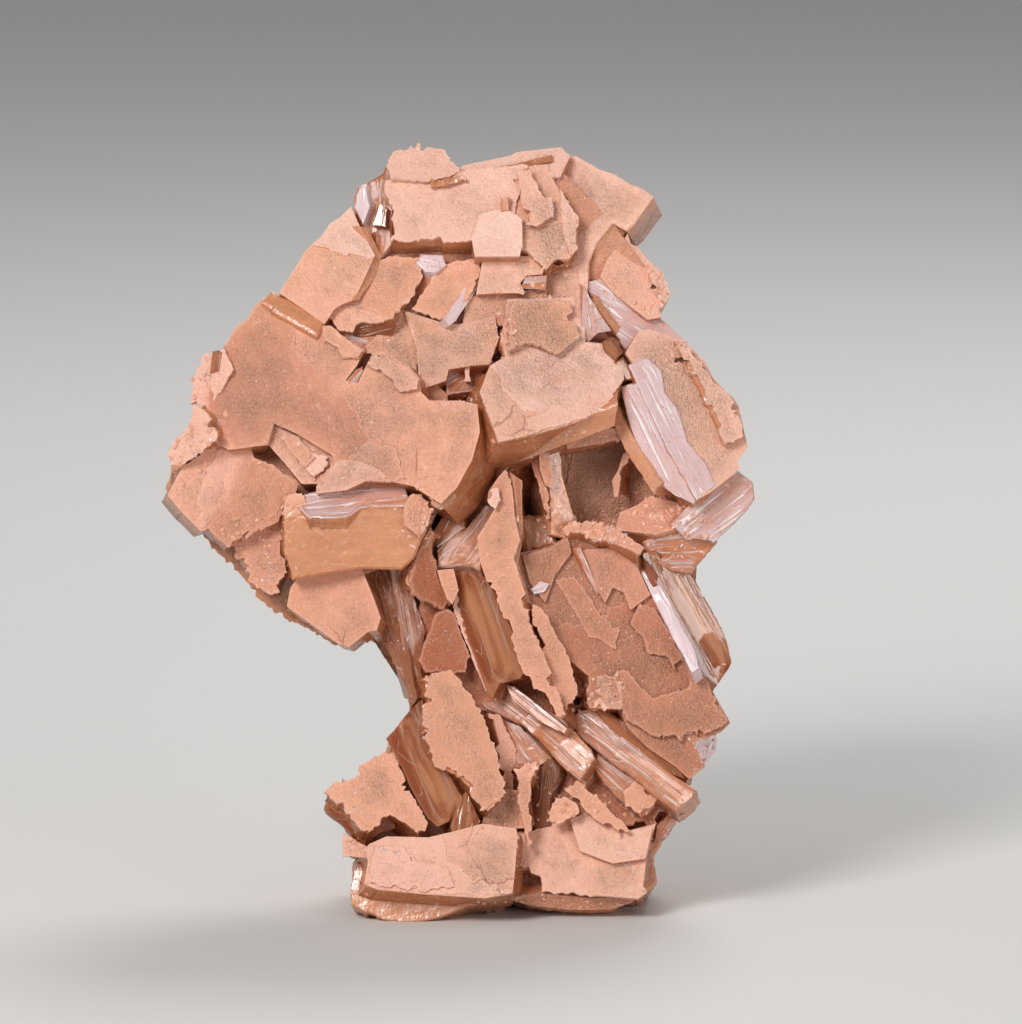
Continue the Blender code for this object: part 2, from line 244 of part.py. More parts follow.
LOWER = [
    ("fan_bar_upper", 3.3, (-8, 12), 5, 0.97,
     [(0.9, 18.4), (2.7, 17.9), (3.4, 19.2), (4.0, 19.2), (5.2, 18.0), (6.6, 17.0), (8.2, 16.2),
      (10.4, 13.8), (10.8, 13.0), (9.6, 11.2), (8.0, 12.5), (6.2, 14.6), (4.6, 15.8), (2.0, 17.0)]),
    ("fan_bar_middle", 3.8, (-6, 14), 5, 0.97,
     [(8.5, 15.9), (9.6, 16.8), (10.7, 17.0), (12.3, 15.2), (14.8, 13.5), (16.4, 12.1), (18.0, 11.0),
      (18.9, 10.5), (18.4, 9.8), (17.2, 8.8), (15.8, 9.8), (14.0, 11.2), (11.5, 13.1), (10.0, 14.3)]),
    ("fan_bar_glass", 3.0, (12, 24), 4, 0.97,
     [(10.5, 17.2), (11.6, 17.0), (13.2, 15.8), (15.6, 14.1), (17.3, 12.6), (18.1, 11.3), (16.4, 11.9),
      (14.8, 13.3), (12.3, 14.9)]),
    ("fan_bar_lower", 3.3, (-5, 6), 4.5, 0.97,
     [(10.4, 12.4), (11.0, 13.4), (12.0, 12.7), (14.5, 11.0), (15.8, 9.8), (15.4, 9.1), (14.4, 8.3),
      (13.4, 9.0), (11.5, 10.8)]),
    ("fan_bar_last", 3.9, (0, 10), 4.5, 0.97,
     [(8.2, 10.6), (8.6, 11.2), (9.9, 11.2), (11.0, 10.2), (12.9, 8.1), (13.7, 7.2), (12.6, 6.9),
      (10.5, 8.4), (9.0, 9.9)]),
    ("fan_knob", 4.1, (-10, 6), 5, 0.97,
     [(7.1, 8.0), (7.5, 10.0), (8.5, 9.9), (9.4, 9.3), (9.5, 8.6), (8.5, 8.1), (7.8, 7.7)]),
    ("low_brown_prism", 2.7, (-20, 0), 5, 0.98,
     [(5.6, 12.8), (7.3, 13.1), (8.0, 12.2), (7.9, 11.4), (7.4, 10.0), (7.2, 7.6), (5.8, 7.0)]),
    ("low_lump", 4.4, (-10, 18), 4, 0.97,
     [(4.2, 12.1), (5.5, 13.0), (6.2, 12.7), (6.0, 11.8), (5.6, 11.1), (4.7, 11.1)]),
    ("low_rod", 4.7, (6, 0), 4, 0.98,
     [(4.7, 11.3), (5.7, 11.4), (5.8, 6.2), (5.4, 5.9), (5.1, 7.0), (4.6, 9.4)]),
    ("low_wedge", 2.9, (20, 0), 5, 0.98,
     [(2.2, 16.6), (3.2, 16.5), (3.7, 15.2), (4.6, 13.6), (4.4, 12.2), (4.2, 10.0), (3.4, 10.6),
      (2.9, 13.6)]),
    ("low_amber_triangle", 2.6, (-4, 8), 5, 0.98,
     [(3.5, 16.0), (4.8, 15.6), (7.4, 13.0), (6.0, 12.2), (4.4, 12.2), (3.9, 14.4)]),
    ("low_shelf", 3.4, (4, 0), 6, 1.0,
     [(1.6, 7.4), (2.2, 9.2), (3.3, 10.6), (4.8, 10.4), (5.2, 7.4)]),
    ("peach_bar", 5.5, (8, 8), 5.5, 0.97,
     [(-3.0, 19.3), (-2.4, 19.9), (-0.9, 20.1), (1.0, 18.1), (1.6, 17.0), (2.7, 14.0), (3.6, 10.9),
      (3.8, 10.2), (2.3, 8.8), (1.8, 9.0), (-0.3, 11.4), (-1.4, 11.9), (-2.1, 12.6), (-2.4, 14.0),
      (-3.1, 15.0), (-2.9, 18.0)]),
    ("amber_prism", 4.5, (-13, 0), 6, 0.97,
     [(-3.9, 17.0), (-3.0, 17.8), (-2.6, 14.0), (-0.8, 11.6), (0.2, 9.9), (0.1, 9.1), (-0.9, 7.9),
      (-1.8, 7.5), (-2.6, 8.1), (-4.0, 10.6), (-5.2, 13.3), (-6.0, 14.5), (-5.2, 15.4)]),
    ("amber_foot", 5.2, (4, 8), 4, 0.97,
     [(-0.4, 6.1), (0.2, 6.0), (0.9, 6.8), (1.7, 8.0), (1.0, 9.5), (0.5, 10.5), (-0.2, 9.4),
      (-0.8, 7.6)]),
    ("left_tip_low", 4.5, (5, 18), 5, 0.97,
     [(-10.8, 10.3), (-9.4, 11.6), (-8.7, 11.5), (-8.2, 12.2), (-6.2, 13.5), (-5.3, 13.5),
      (-4.2, 10.8), (-2.8, 8.4), (-2.6, 7.6), (-3.3, 6.8), (-4.6, 7.9), (-5.6, 8.5), (-7.4, 6.9),
      (-9.2, 9.0), (-10.4, 10.0)]),
    ("left_tip_amber", 3.4, (-6, -8), 5, 0.96,
     [(-10.4, 10.0), (-10.8, 9.2), (-10.8, 8.6), (-8.4, 6.6), (-7.6, 5.8), (-6.5, 6.7), (-5.2, 7.4),
      (-5.6, 9.4), (-9.0, 10.4)]),
    ("base_block_left", 6.1, (0, 15), 4.5, 0.98,
     [(-7.6, 3.0), (-7.3, 4.9), (-7.7, 5.6), (-7.2, 6.2), (-5.8, 6.8), (-2.5, 6.7), (-0.4, 7.2),
      (1.8, 7.8), (4.5, 7.4), (4.6, 6.8), (4.4, 4.2), (4.2, 2.3), (2.0, 1.9), (-2.6, 2.2),
      (-6.6, 2.6)]),
    ("base_block_left_root", 3.8, (-4, 12), 10, 0.96,
     [(-8.7, 1.3), (-8.8, 2.2), (-8.6, 4.0), (-8.0, 5.2), (3.6, 6.0), (3.4, 1.9), (2.0, 1.3),
      (0.0, 1.0), (-1.5, 0.4), (-3.0, 0.0), (-4.5, -0.1), (-6.0, 0.1), (-7.6, 0.6)]),
    ("base_left_chip", 4.9, (-10, 5), 4, 0.98,
     [(-9.4, 5.1), (-9.3, 7.1), (-8.6, 6.7), (-7.4, 6.0), (-7.2, 4.9)]),
    ("base_block_right", 3.2, (-2, 14), 5, 0.98,
     [(4.2, 7.2), (5.8, 7.2), (8.6, 8.2), (10.5, 8.9), (13.5, 7.2), (15.6, 7.7), (15.2, 6.3),
      (14.9, 5.2), (14.6, 2.8), (14.9, 2.3), (14.2, 1.8), (10.0, 2.1), (6.4, 2.2), (6.3, 3.6),
      (4.2, 3.7)]),
    ("base_block_right_root", 0.3, (4, 10), 10, 0.97,
     [(3.0, 2.2), (4.0, 1.9), (5.5, 1.1), (8.5, 0.65), (12.0, 0.6), (13.0, 1.2), (15.1, 2.4),
      (15.8, 3.0), (15.5, 5.0), (15.9, 5.7), (16.8, 7.2), (17.6, 8.2), (17.2, 8.9), (12.0, 10.0),
      (3.0, 8.0)]),
]

# The heavy inside that the plates grow from: out at its front, depth, outline
CORE = [
    ("core_left", 1.4, 9, [(-20, 36), (-19, 44), (-14, 48.5), (-6, 47), (-1, 42), (-0.6, 34.5), (-4, 29),
                              (-12, 26), (-18, 31)]),
    ("core_top", 0.0, 8, [(-7, 45), (-6, 58), (0, 59.5), (8, 60), (12, 56), (15, 52), (14, 41), (2, 40)]),
    ("core_middle", -4.2, 6, [(-2, 29), (-2, 43), (12, 43), (12, 14), (2, 14)]),
    ("core_right", -3.0, 6, [(10.8, 16), (9.5, 26), (9, 46), (16, 47), (21, 41), (20, 36), (19, 29),
                              (18.5, 22), (19, 16), (13, 11)]),
    ("core_low", -0.6, 8, [(-6, 2), (-7, 9), (-4, 16), (-4, 26), (2, 31), (7.5, 30), (8.5, 18), (13, 10),
                            (14, 2)]),
]

# How far the cluster reaches to the left and right at each height, and its inner body behind
WIDTHS = [(0, -7.5, 14), (8, -7, 15), (17, -3.5, 18), (24, -8, 18.5), (30, -16, 17.5), (36, -20, 20),
          (43, -18.5, 19.5), (49, -13, 14), (54, -8, 11.5), (57.5, -4.5, 9)]
BODY_FRONT = -3.0               # the inner body starts this far behind the display plane, mm
BODY_BACK = -14.0
BODY_CORNER = 4.5               # its back corners are rounded off by this much

# Plates that cover the sides and the back, which the display face hides
HIDDEN_SEED = 12
HIDDEN_ROW = 5.0                # distance between rows of plates, mm
HIDDEN_STEP = 7.5               # distance between plates in a row, mm
HIDDEN_SIZE = (6.0, 12.5)       # smallest and largest width, mm
HIDDEN_THICK = (3.5, 5.5)
HIDDEN_STAND = (-0.8, 2.6)      # how far a plate stands out of the inner body, mm
HIDDEN_TILT = 26                # most that a plate is tilted from the body's surface, degrees
HIDDEN_TAPER = 0.9              # how much smaller a plate is at its face than behind
HIDDEN_FRONT = -1.5             # no hidden plate comes further forward than this, mm
HIDDEN_HEIGHT = (0.6, 1.0)      # a plate's height as a share of its width
HIDDEN_UP = 1.8                 # how far a plate sits above or below its row at most, mm
HIDDEN_SPREAD = (0.2, 0.8)      # where a plate sits within its step round the body
HIDDEN_TURN = 45                # most that a plate is turned in its own plane, degrees
SQUARENESS = 0.6                # squares the oval round the body so that it follows the corners
LEAN_START = 52                 # plates above this height lean upwards more and more, mm
LEAN_RATE = 5                   # by this many degrees for each millimetre
SHRINK_STEPS = (1.0, 0.85, 0.7, 0.58, 0.46)     # a plate that shows past the outline is made smaller
DRAWN_IN = 0.5                  # and drawn this much of what it lost towards the body's middle
MIDDLE_TOP = 54                 # the body's middle line ends at this height, mm
PLATE_CORNERS = ((1, -1), (1, 0.35), (0.4, 1), (-1, 1), (-1, -0.2), (-0.55, -1))   # shares of half its size
CORE_TAPER = 0.94
CRUST_COLOUR = (0.70, 0.40, 0.28, 1)
CRUST_ROUGHNESS = 0.6

# The outline that the cluster has from the display side, a little inside its real edge
SILHOUETTE = [
    (-8.4, 57.5), (-7.8, 58.6), (-6.0, 59.6), (-5.2, 61.0), (-3.5, 61.8), (-1.4, 61.3), (0.2, 60.0),
    (4.2, 60.9), (8.0, 61.4), (11.8, 59.5), (15.2, 57.8), (13.2, 54.8), (15.8, 51.5), (16.4, 50.0),
    (15.6, 49.0), (15.9, 48.0), (19.3, 44.5), (20.2, 43.0), (21.8, 41.4), (22.6, 37.8), (21.8, 35.8),
    (23.2, 34.6), (23.0, 33.2), (20.0, 29.8), (18.4, 27.6), (19.6, 25.2), (21.4, 20.4), (20.2, 18.6),
    (21.2, 16.0), (18.6, 14.4), (18.6, 10.6), (17.1, 8.2), (15.3, 5.4), (15.4, 3.2), (12.6, 1.2),
    (8.5, 0.9), (3.5, 2.2), (-1.5, 0.8), (-4.0, 0.3), (-7.5, 1.0), (-8.5, 2.0), (-9.0, 6.9),
    (-10.4, 8.8), (-10.4, 10.2), (-6.1, 13.1), (-5.7, 14.5), (-4.0, 16.7), (-4.1, 18.4), (-6.5, 22.2),
    (-9.6, 22.0), (-14.4, 24.9), (-18.6, 29.2), (-23.2, 34.6), (-22.9, 37.4), (-20.9, 40.6),
    (-20.6, 44.2), (-18.9, 45.5), (-16.4, 48.5), (-14.2, 50.0), (-12.2, 53.2), (-9.6, 55.8)]

# A few large plates that lead the back: across, up, out, width, height, thickness, facing
# (0 the display side, 90 the right), lean up, turn
LARGE = [
    (3, 40, -16.5, 17, 14, 6, 178, 10, 14),
    (-9, 40, -15.0, 13, 16, 6, 198, 4, -22),
    (11, 30, -16.0, 12, 17, 6, 162, -4, 30),
    (-2, 28, -16.0, 13, 11, 6, 188, -8, -12),
    (4, 51, -14.5, 15, 9, 5, 176, 24, 6),
    (3, 17, -16.5, 15, 10, 6, 184, 6, 10),
    (5, 6, -15.5, 16, 9, 6, 178, -4, -4),
    (-1, 58, -7.5, 8, 7, 4, 196, 56, 16),
    (6, 57.8, -7.0, 9, 7, 4, 166, 52, -12),
    (2, 56.5, -11.5, 8, 7, 4, 184, 48, 28),
    (-13, 47.5, -7.5, 7, 6, 4, 220, 46, 22),
    (15, 46, -8.0, 7, 6, 4, 140, 44, 26),
]


def centroid(outline):
    """Area centre of a flat outline."""
    area = across = up = 0.0
    for (x0, z0), (x1, z1) in zip(outline, outline[1:] + outline[:1]):
        cross = x0 * z1 - x1 * z0
        area += cross
        across += (x0 + x1) * cross
        up += (z0 + z1) * cross
    return across / (3 * area), up / (3 * area), area / 2


def plate_rings(out, lean, thick, taper, outline):
    """Corners of a plate's front and back, in the display plane's across, up and out."""
    middle_x, middle_z, area = centroid(outline)
    corners = outline if area > 0 else outline[::-1]
    slope_x = math.tan(math.radians(lean[0]))
    slope_z = math.tan(math.radians(lean[1]))
    normal = Vector((slope_x, slope_z, 1)).normalized()
    front = [Vector((x, z, out - (x - middle_x) * slope_x - (z - middle_z) * slope_z)) for x, z in corners]
    middle = Vector((middle_x, middle_z, out))
    back = [middle + (corner - middle) * taper - normal * thick for corner in front]
    return front, back


def cut_plate(across, up, out, width, height, thick, facing, lean, turn):
    """Front and back corners of a plate with two cut corners that faces any way."""
    facing, lean, turn = math.radians(facing), math.radians(lean), math.radians(turn)
    normal = Vector((math.sin(facing) * math.cos(lean), math.sin(lean), math.cos(facing) * math.cos(lean)))
    side = Vector((0, 1, 0)).cross(normal).normalized()
    rise = normal.cross(side)
    middle = Vector((across, up, out))
    front = []
    back = []
    for share_x, share_z in PLATE_CORNERS:
        a, b = share_x * width / 2, share_z * height / 2
        offset = (side * (a * math.cos(turn) - b * math.sin(turn))
                  + rise * (a * math.sin(turn) + b * math.cos(turn)))
        front.append(middle + offset * HIDDEN_TAPER)
        back.append(middle + offset - normal * thick)
    return front, back


def reach(height):
    """Left and right edge of the inner body at a height."""
    for (low, left_0, right_0), (high, left_1, right_1) in zip(WIDTHS, WIDTHS[1:]):
        if height <= high:
            share = max(0.0, (height - low) / (high - low))
            return left_0 + (left_1 - left_0) * share, right_0 + (right_1 - right_0) * share
    return WIDTHS[-1][1:]


def body_ring(height):
    """The inner body's outline at a height: a flat front and a rounded back."""
    left, right = reach(height)
    return [Vector((x, height, out)) for x, out in (
        (left, BODY_FRONT), (right, BODY_FRONT), (right, BODY_BACK + BODY_CORNER),
        (right - BODY_CORNER, BODY_BACK), (left + BODY_CORNER, BODY_BACK), (left, BODY_BACK + BODY_CORNER))]


def inside(outline, x, z):
    """Whether a point of the display plane lies within an outline."""
    within = False
    for (x0, z0), (x1, z1) in zip(outline, outline[1:] + outline[:1]):
        if (z0 > z) != (z1 > z) and x < x0 + (z - z0) / (z1 - z0) * (x1 - x0):
            within = not within
    return within


def fitted(plate):
    """The corner rings of a hidden plate, made small enough not to show past the display face."""
    across, up, out, width, height, *rest = plate
    left, right = reach(up)
    middle = Vector(((left + right) / 2, min(up, MIDDLE_TOP), (BODY_FRONT + BODY_BACK) / 2))
    for shrink in SHRINK_STEPS:
        place = Vector((across, up, out)).lerp(middle, (1 - shrink) * DRAWN_IN)
        rings = cut_plate(*place, width * shrink, height * shrink, *rest)
        if all(inside(SILHOUETTE, p.x, p.y) and p.z < HIDDEN_FRONT for ring in rings for p in ring):
            return rings
    return None


def hidden_plates():
    """Plates all round the sides and the back, in rows up the inner body, and on its top."""
    dice = random.Random(HIDDEN_SEED)
    plates = []
    height = WIDTHS[0][0] + HIDDEN_ROW / 2
    while height < WIDTHS[-1][0] + HIDDEN_ROW:
        left, right = reach(height)
        middle_x = (left + right) / 2
        half = (right - left) / 2
        deep = BODY_FRONT - BODY_BACK
        way_round = 2 * deep + 2 * half
        count = round(way_round / HIDDEN_STEP)
        lean_up = max(0, height - LEAN_START) * LEAN_RATE
        for i in range(count):
            # from the right side round the back to the left side
            angle = math.pi / 2 + math.pi * (i + dice.uniform(*HIDDEN_SPREAD)) / count
            x = math.copysign(abs(math.sin(angle)) ** SQUARENESS, math.sin(angle))
            out = -abs(math.cos(angle)) ** SQUARENESS
            stand = dice.uniform(*HIDDEN_STAND)
            width = dice.uniform(*HIDDEN_SIZE)
            plates.append((middle_x + x * (half + stand), height + dice.uniform(-HIDDEN_UP, HIDDEN_UP),
                           BODY_FRONT + out * (deep + stand), width, width * dice.uniform(*HIDDEN_HEIGHT),
                           dice.uniform(*HIDDEN_THICK),
                           math.degrees(math.atan2(x, out)) + dice.uniform(-HIDDEN_TILT, HIDDEN_TILT),
                           dice.uniform(-HIDDEN_TILT, HIDDEN_TILT) + lean_up,
                           dice.uniform(-HIDDEN_TURN, HIDDEN_TURN)))
        height += HIDDEN_ROW
    return plates


def all_crystals():
    """Name and corner rings of every crystal of the cluster."""
    crystals = [("inner_body", [body_ring(height) for height, left, right in WIDTHS])]
    for name, out, deep, outline in CORE:
        crystals.append((name, plate_rings(out, (0, 0), deep, CORE_TAPER, outline)))
    for group in (TOP, UPPER_LEFT, LEFT, MIDDLE, RIGHT, LOWER):
        for name, out, lean, thick, taper, outline in group:
            crystals.append((name, plate_rings(out, lean, thick, taper, outline)))
    for number, plate in enumerate(LARGE + hidden_plates()):
        rings = fitted(plate)
        if rings:
            crystals.append((f"hidden_{number:02d}", rings))
    return crystals


def stand_up(point):
    """Turn a point of the display plane so that the cluster leans back on the ground."""
    across, up, out = point
    return Vector((across,
                   up * math.sin(LEAN_BACK) - out * math.cos(LEAN_BACK),
                   up * math.cos(LEAN_BACK) + out * math.sin(LEAN_BACK) - GROUND))


def ground_centre(crystals):
    """Where the middle of the cluster's width and depth lies on the ground."""
    points = [stand_up(p) for name, rings in crystals for ring in rings for p in ring]
    points = [p for p in points if p.z > 0]
    across = [p.x for p in points]
    deep = [p.y for p in points]
    return Vector(((min(across) + max(across)) / 2, (min(deep) + max(deep)) / 2, 0))


def solid(name, rings, shift):
    """A closed solid through two or more rings of corners."""
    points = [(stand_up(p) - shift) * MM for ring in rings for p in ring]
    count = len(rings[0])
    faces = [list(range(count)), list(range(len(points) - 1, len(points) - count - 1, -1))]
    for start in range(0, len(points) - count, count):
        for i in range(count):
            j = (i + 1) % count
            faces.append([start + j, start + i, start + count + i, start + count + j])
    mesh = bpy.data.meshes.new(name)
    mesh.from_pydata(points, [], faces)
    return bpy.data.objects.new(name, mesh)


def hide(thing):
    thing.hide_render = True
    thing.display_type = 'WIRE'


def outer_shell(thing, name):
    """The joined surface of a thing with its sealed inner gaps made solid."""
    graph = bpy.context.evaluated_depsgraph_get()
    joined = bmesh.new()
    joined.from_mesh(thing.evaluated_get(graph).to_mesh())
    left = set(joined.verts)
    shells = []
    while left:
        shell = [left.pop()]
        for vert in shell:
            near = {edge.other_vert(vert) for edge in vert.link_edges} & left
            left -= near
            shell.extend(near)
        shells.append(shell)
    shells.sort(key=len)
    for shell in shells[:-1]:
        bmesh.ops.delete(joined, geom=shell, context='VERTS')
    mesh = bpy.data.meshes.new(name)
    joined.to_mesh(mesh)
    joined.free()
    return mesh


def crystal_material():
    """Salmon-coloured crust over honey-coloured crystal."""
    material = bpy.data.materials.new("stolzite_crust")
    material.use_nodes = True
    shader = material.node_tree.nodes["Principled BSDF"]
    shader.inputs["Base Color"].default_value = CRUST_COLOUR
    shader.inputs["Roughness"].default_value = CRUST_ROUGHNESS
    return material


def trim_block():
    """A block whose top face is the ground, to cut the underside flat."""
    half = TRIM_SIZE / 2
    square = ((-half, -half), (half, -half), (half, half), (-half, half))
    low = [Vector((x, y, -TRIM_SIZE)) * MM for x, y in square]
    high = [Vector((x, y, 0)) * MM for x, y in square]
    sides = [[i, (i + 1) % 4, 4 + (i + 1) % 4, 4 + i] for i in range(4)]
    mesh = bpy.data.meshes.new("underside_trim")
    mesh.from_pydata(low + high, [], [[3, 2, 1, 0], [4, 5, 6, 7]] + sides)
    return bpy.data.objects.new("underside_trim", mesh)


def main():
    for thing in list(bpy.data.objects):
        bpy.data.objects.remove(thing)
    scene = bpy.context.scene

    crystals = all_crystals()
    shift = ground_centre(crystals)
    growth = bpy.data.collections.new("growth")
    scene.collection.children.link(growth)

    first_name, first_rings = crystals[0]
    joined = solid(first_name, first_rings, shift)
    scene.collection.objects.link(joined)
    hide(joined)
    for name, rings in crystals[1:]:
        piece = solid(name, rings, shift)
        growth.objects.link(piece)
        hide(piece)

    join = joined.modifiers.new("grown_together", 'BOOLEAN')
    join.operation = 'UNION'
    join.solver = 'EXACT'
    join.operand_type = 'COLLECTION'
    join.collection = growth

    below = trim_block()
    scene.collection.objects.link(below)
    hide(below)
    trim = joined.modifiers.new("trimmed_underside", 'BOOLEAN')
    trim.operation = 'DIFFERENCE'
    trim.solver = 'EXACT'
    trim.object = below

    cluster = bpy.data.objects.new("crystal_cluster", outer_shell(joined, "crystal_cluster"))
    cluster.data.materials.append(crystal_material())
    scene.collection.objects.link(cluster)


main()
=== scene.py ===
# Stolzite: a cluster of intergrown tabular crystals, standing on its trimmed lower crystals.
# Crystals are given in the plane of the display face, in mm: across, up, and out towards the viewer.

import json
import math
import random

import bmesh
import bpy
import numpy as np
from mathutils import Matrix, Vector, bvhtree, geometry, kdtree, noise

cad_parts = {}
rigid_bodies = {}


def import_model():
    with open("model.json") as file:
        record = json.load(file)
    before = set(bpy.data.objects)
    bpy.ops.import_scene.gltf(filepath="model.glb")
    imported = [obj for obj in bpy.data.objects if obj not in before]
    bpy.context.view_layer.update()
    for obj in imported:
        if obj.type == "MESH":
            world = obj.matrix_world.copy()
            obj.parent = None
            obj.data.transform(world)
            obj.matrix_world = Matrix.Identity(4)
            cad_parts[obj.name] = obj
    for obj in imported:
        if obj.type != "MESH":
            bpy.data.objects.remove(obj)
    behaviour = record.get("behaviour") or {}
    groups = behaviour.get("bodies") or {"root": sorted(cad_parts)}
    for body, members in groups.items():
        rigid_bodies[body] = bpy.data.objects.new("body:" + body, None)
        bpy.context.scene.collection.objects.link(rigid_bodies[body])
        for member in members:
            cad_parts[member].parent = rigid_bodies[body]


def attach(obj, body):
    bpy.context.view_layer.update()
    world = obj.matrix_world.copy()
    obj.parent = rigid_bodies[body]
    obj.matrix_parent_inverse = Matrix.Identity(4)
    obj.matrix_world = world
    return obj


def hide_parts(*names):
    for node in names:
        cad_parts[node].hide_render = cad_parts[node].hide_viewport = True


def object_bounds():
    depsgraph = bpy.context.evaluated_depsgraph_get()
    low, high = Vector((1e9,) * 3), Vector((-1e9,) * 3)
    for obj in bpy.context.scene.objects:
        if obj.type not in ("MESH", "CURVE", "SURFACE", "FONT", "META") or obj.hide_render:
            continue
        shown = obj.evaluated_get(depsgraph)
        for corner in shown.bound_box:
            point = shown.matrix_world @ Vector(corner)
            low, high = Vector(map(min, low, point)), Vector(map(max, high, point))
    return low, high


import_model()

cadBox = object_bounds()
mm = 0.001

stance = {
    "leanBack": math.radians(8),            # the display face leans back by this much
    "ground": 0.56,                         # height of the trimmed underside before it is set down
    "middle": Vector((-0.1447, 9.5223, 0)),     # the middle of the cluster's width and depth
    "viewCentre": (4.08, 32.64, 0),         # the point of the display plane that the camera looks at
}

# name, finish, out at its middle, lean to the right and up in degrees, thickness, taper, outline
topCrystals = [
    ("topLump", "pink", 2.4, (5, 30), 4.5, 1,
     [(-5.5, 59.2), (-5.9, 60.3), (-5.4, 61.2), (-4.8, 61.6), (-4, 62), (-3.4, 62.1), (-2.6, 61.8),
     (-1.1, 61.6), (-0.7, 61), (0.2, 60.2), (0.2, 59.6), (-2.3, 59.1)]),
    ("topRidgeLeft", "lilacSheen", 1.6, (-25, 8), 5, 1,
     [(-8.7, 56.9), (-8.7, 57.9), (-8.3, 58.7), (-7.5, 59), (-7.1, 57.5), (-7.3, 55.4), (-6.9, 53.4),
     (-7.5, 53.4), (-8.2, 55.2)]),
    ("topRidgeRight", "glassy", 2.2, (-16, 6), 5, 1,
     [(-7.4, 59), (-6.2, 59.7), (-5.9, 60.4), (-5, 60.5), (-5.3, 57), (-5.4, 54), (-6.2, 52.9),
     (-7, 53.4), (-7.3, 55.6)]),
    ("topPlate", "pink", 3.3, (0, 20), 4.4, 0.97,
     [(-5.8, 60.3), (-6, 58.5), (-5.6, 56), (-5.5, 54.2), (4, 54.2), (4.4, 57), (5.4, 60.4), (3.2, 60.2),
     (0.2, 59.9), (-2.5, 60.2)]),
    ("topBackPlate", "pink", 1.5, (0, 34), 4, 1,
     [(-0.6, 59.2), (0.2, 60.3), (4, 61.1), (4.6, 61.4), (6.5, 61.6), (8.1, 61.8), (8.8, 61.1),
     (8, 59.4)]),
    ("topBlock", "pink", 4.5, (0, 15), 3.6, 0.98,
     [(0.95, 54.4), (1.2, 53), (4.75, 53), (5, 54), (4.95, 56), (3.6, 56.9), (1.6, 56.4)]),
    ("topSandyPlate", "sandyPink", 3.1, (6, 18), 3.6, 1,
     [(3.6, 54), (5.4, 53.4), (6.9, 52), (7.6, 52.8), (8.7, 52.8), (9.3, 53.6), (9.4, 56.1), (8.7, 57.1),
     (8.3, 58), (7.6, 58.9), (7, 60.4), (4.2, 60.3)]),
    ("rightTopPlate", "sandyPink", 1.5, (-13, 14), 5, 0.95,
     [(6.8, 61.2), (8.2, 61.7), (8.8, 61.1), (9.3, 61.1), (11.2, 60), (12.4, 59.6), (13.6, 58.8),
     (14.5, 58.5), (15.5, 57.8), (14.9, 57), (13.9, 55.6), (13.3, 55.1), (12.2, 55.7), (11, 54.2),
     (10.3, 52.6), (10.2, 50.5), (9.9, 46), (4, 46), (4, 54)]),
    ("rightShoulder", "rose", 2, (8, 16), 5, 1,
     [(11.2, 51.4), (11.8, 52.9), (13, 54.3), (13.4, 54.9), (13.7, 53.9), (14.1, 53.9), (15, 52.8),
     (16.2, 51.8), (16.2, 51.2), (16.8, 50), (16.5, 49.3), (15.9, 48.9), (16.1, 48.2), (15, 48),
     (12.4, 50)]),
    ("rightGlassyBar", "silverySheen", 2.2, (10, 8), 4, 0.96,
     [(10.1, 51), (11.3, 51.3), (12.4, 50.3), (13.8, 49.2), (16, 48.2), (17.5, 46.9), (18.2, 46.2),
     (16.4, 46), (14, 46.2), (13.2, 45.6), (12.4, 46.9), (11.4, 48.4), (10.5, 49.6)]),
    ("gemWedge", "silverySheen", 3.6, (12, -12), 3, 0.95,
     [(9.9, 50.6), (10.6, 49.4), (11.2, 48.4), (12.1, 47.1), (11, 46.9), (10.2, 46.1), (9.7, 47.5)]),
    ("gemWhite", "clear", 4.4, (8, 4), 3, 0.95,
     [(11.4, 46.2), (12.3, 46.6), (13.1, 45.4), (12.5, 44.7), (11.6, 45.4)]),
    ("gemAmber", "clear", 4, (18, 0), 3, 0.95,
     [(12.3, 44.6), (13.1, 45.1), (13.6, 44.3), (14.3, 43.8), (14.3, 43.1), (13.2, 43.1)]),
]

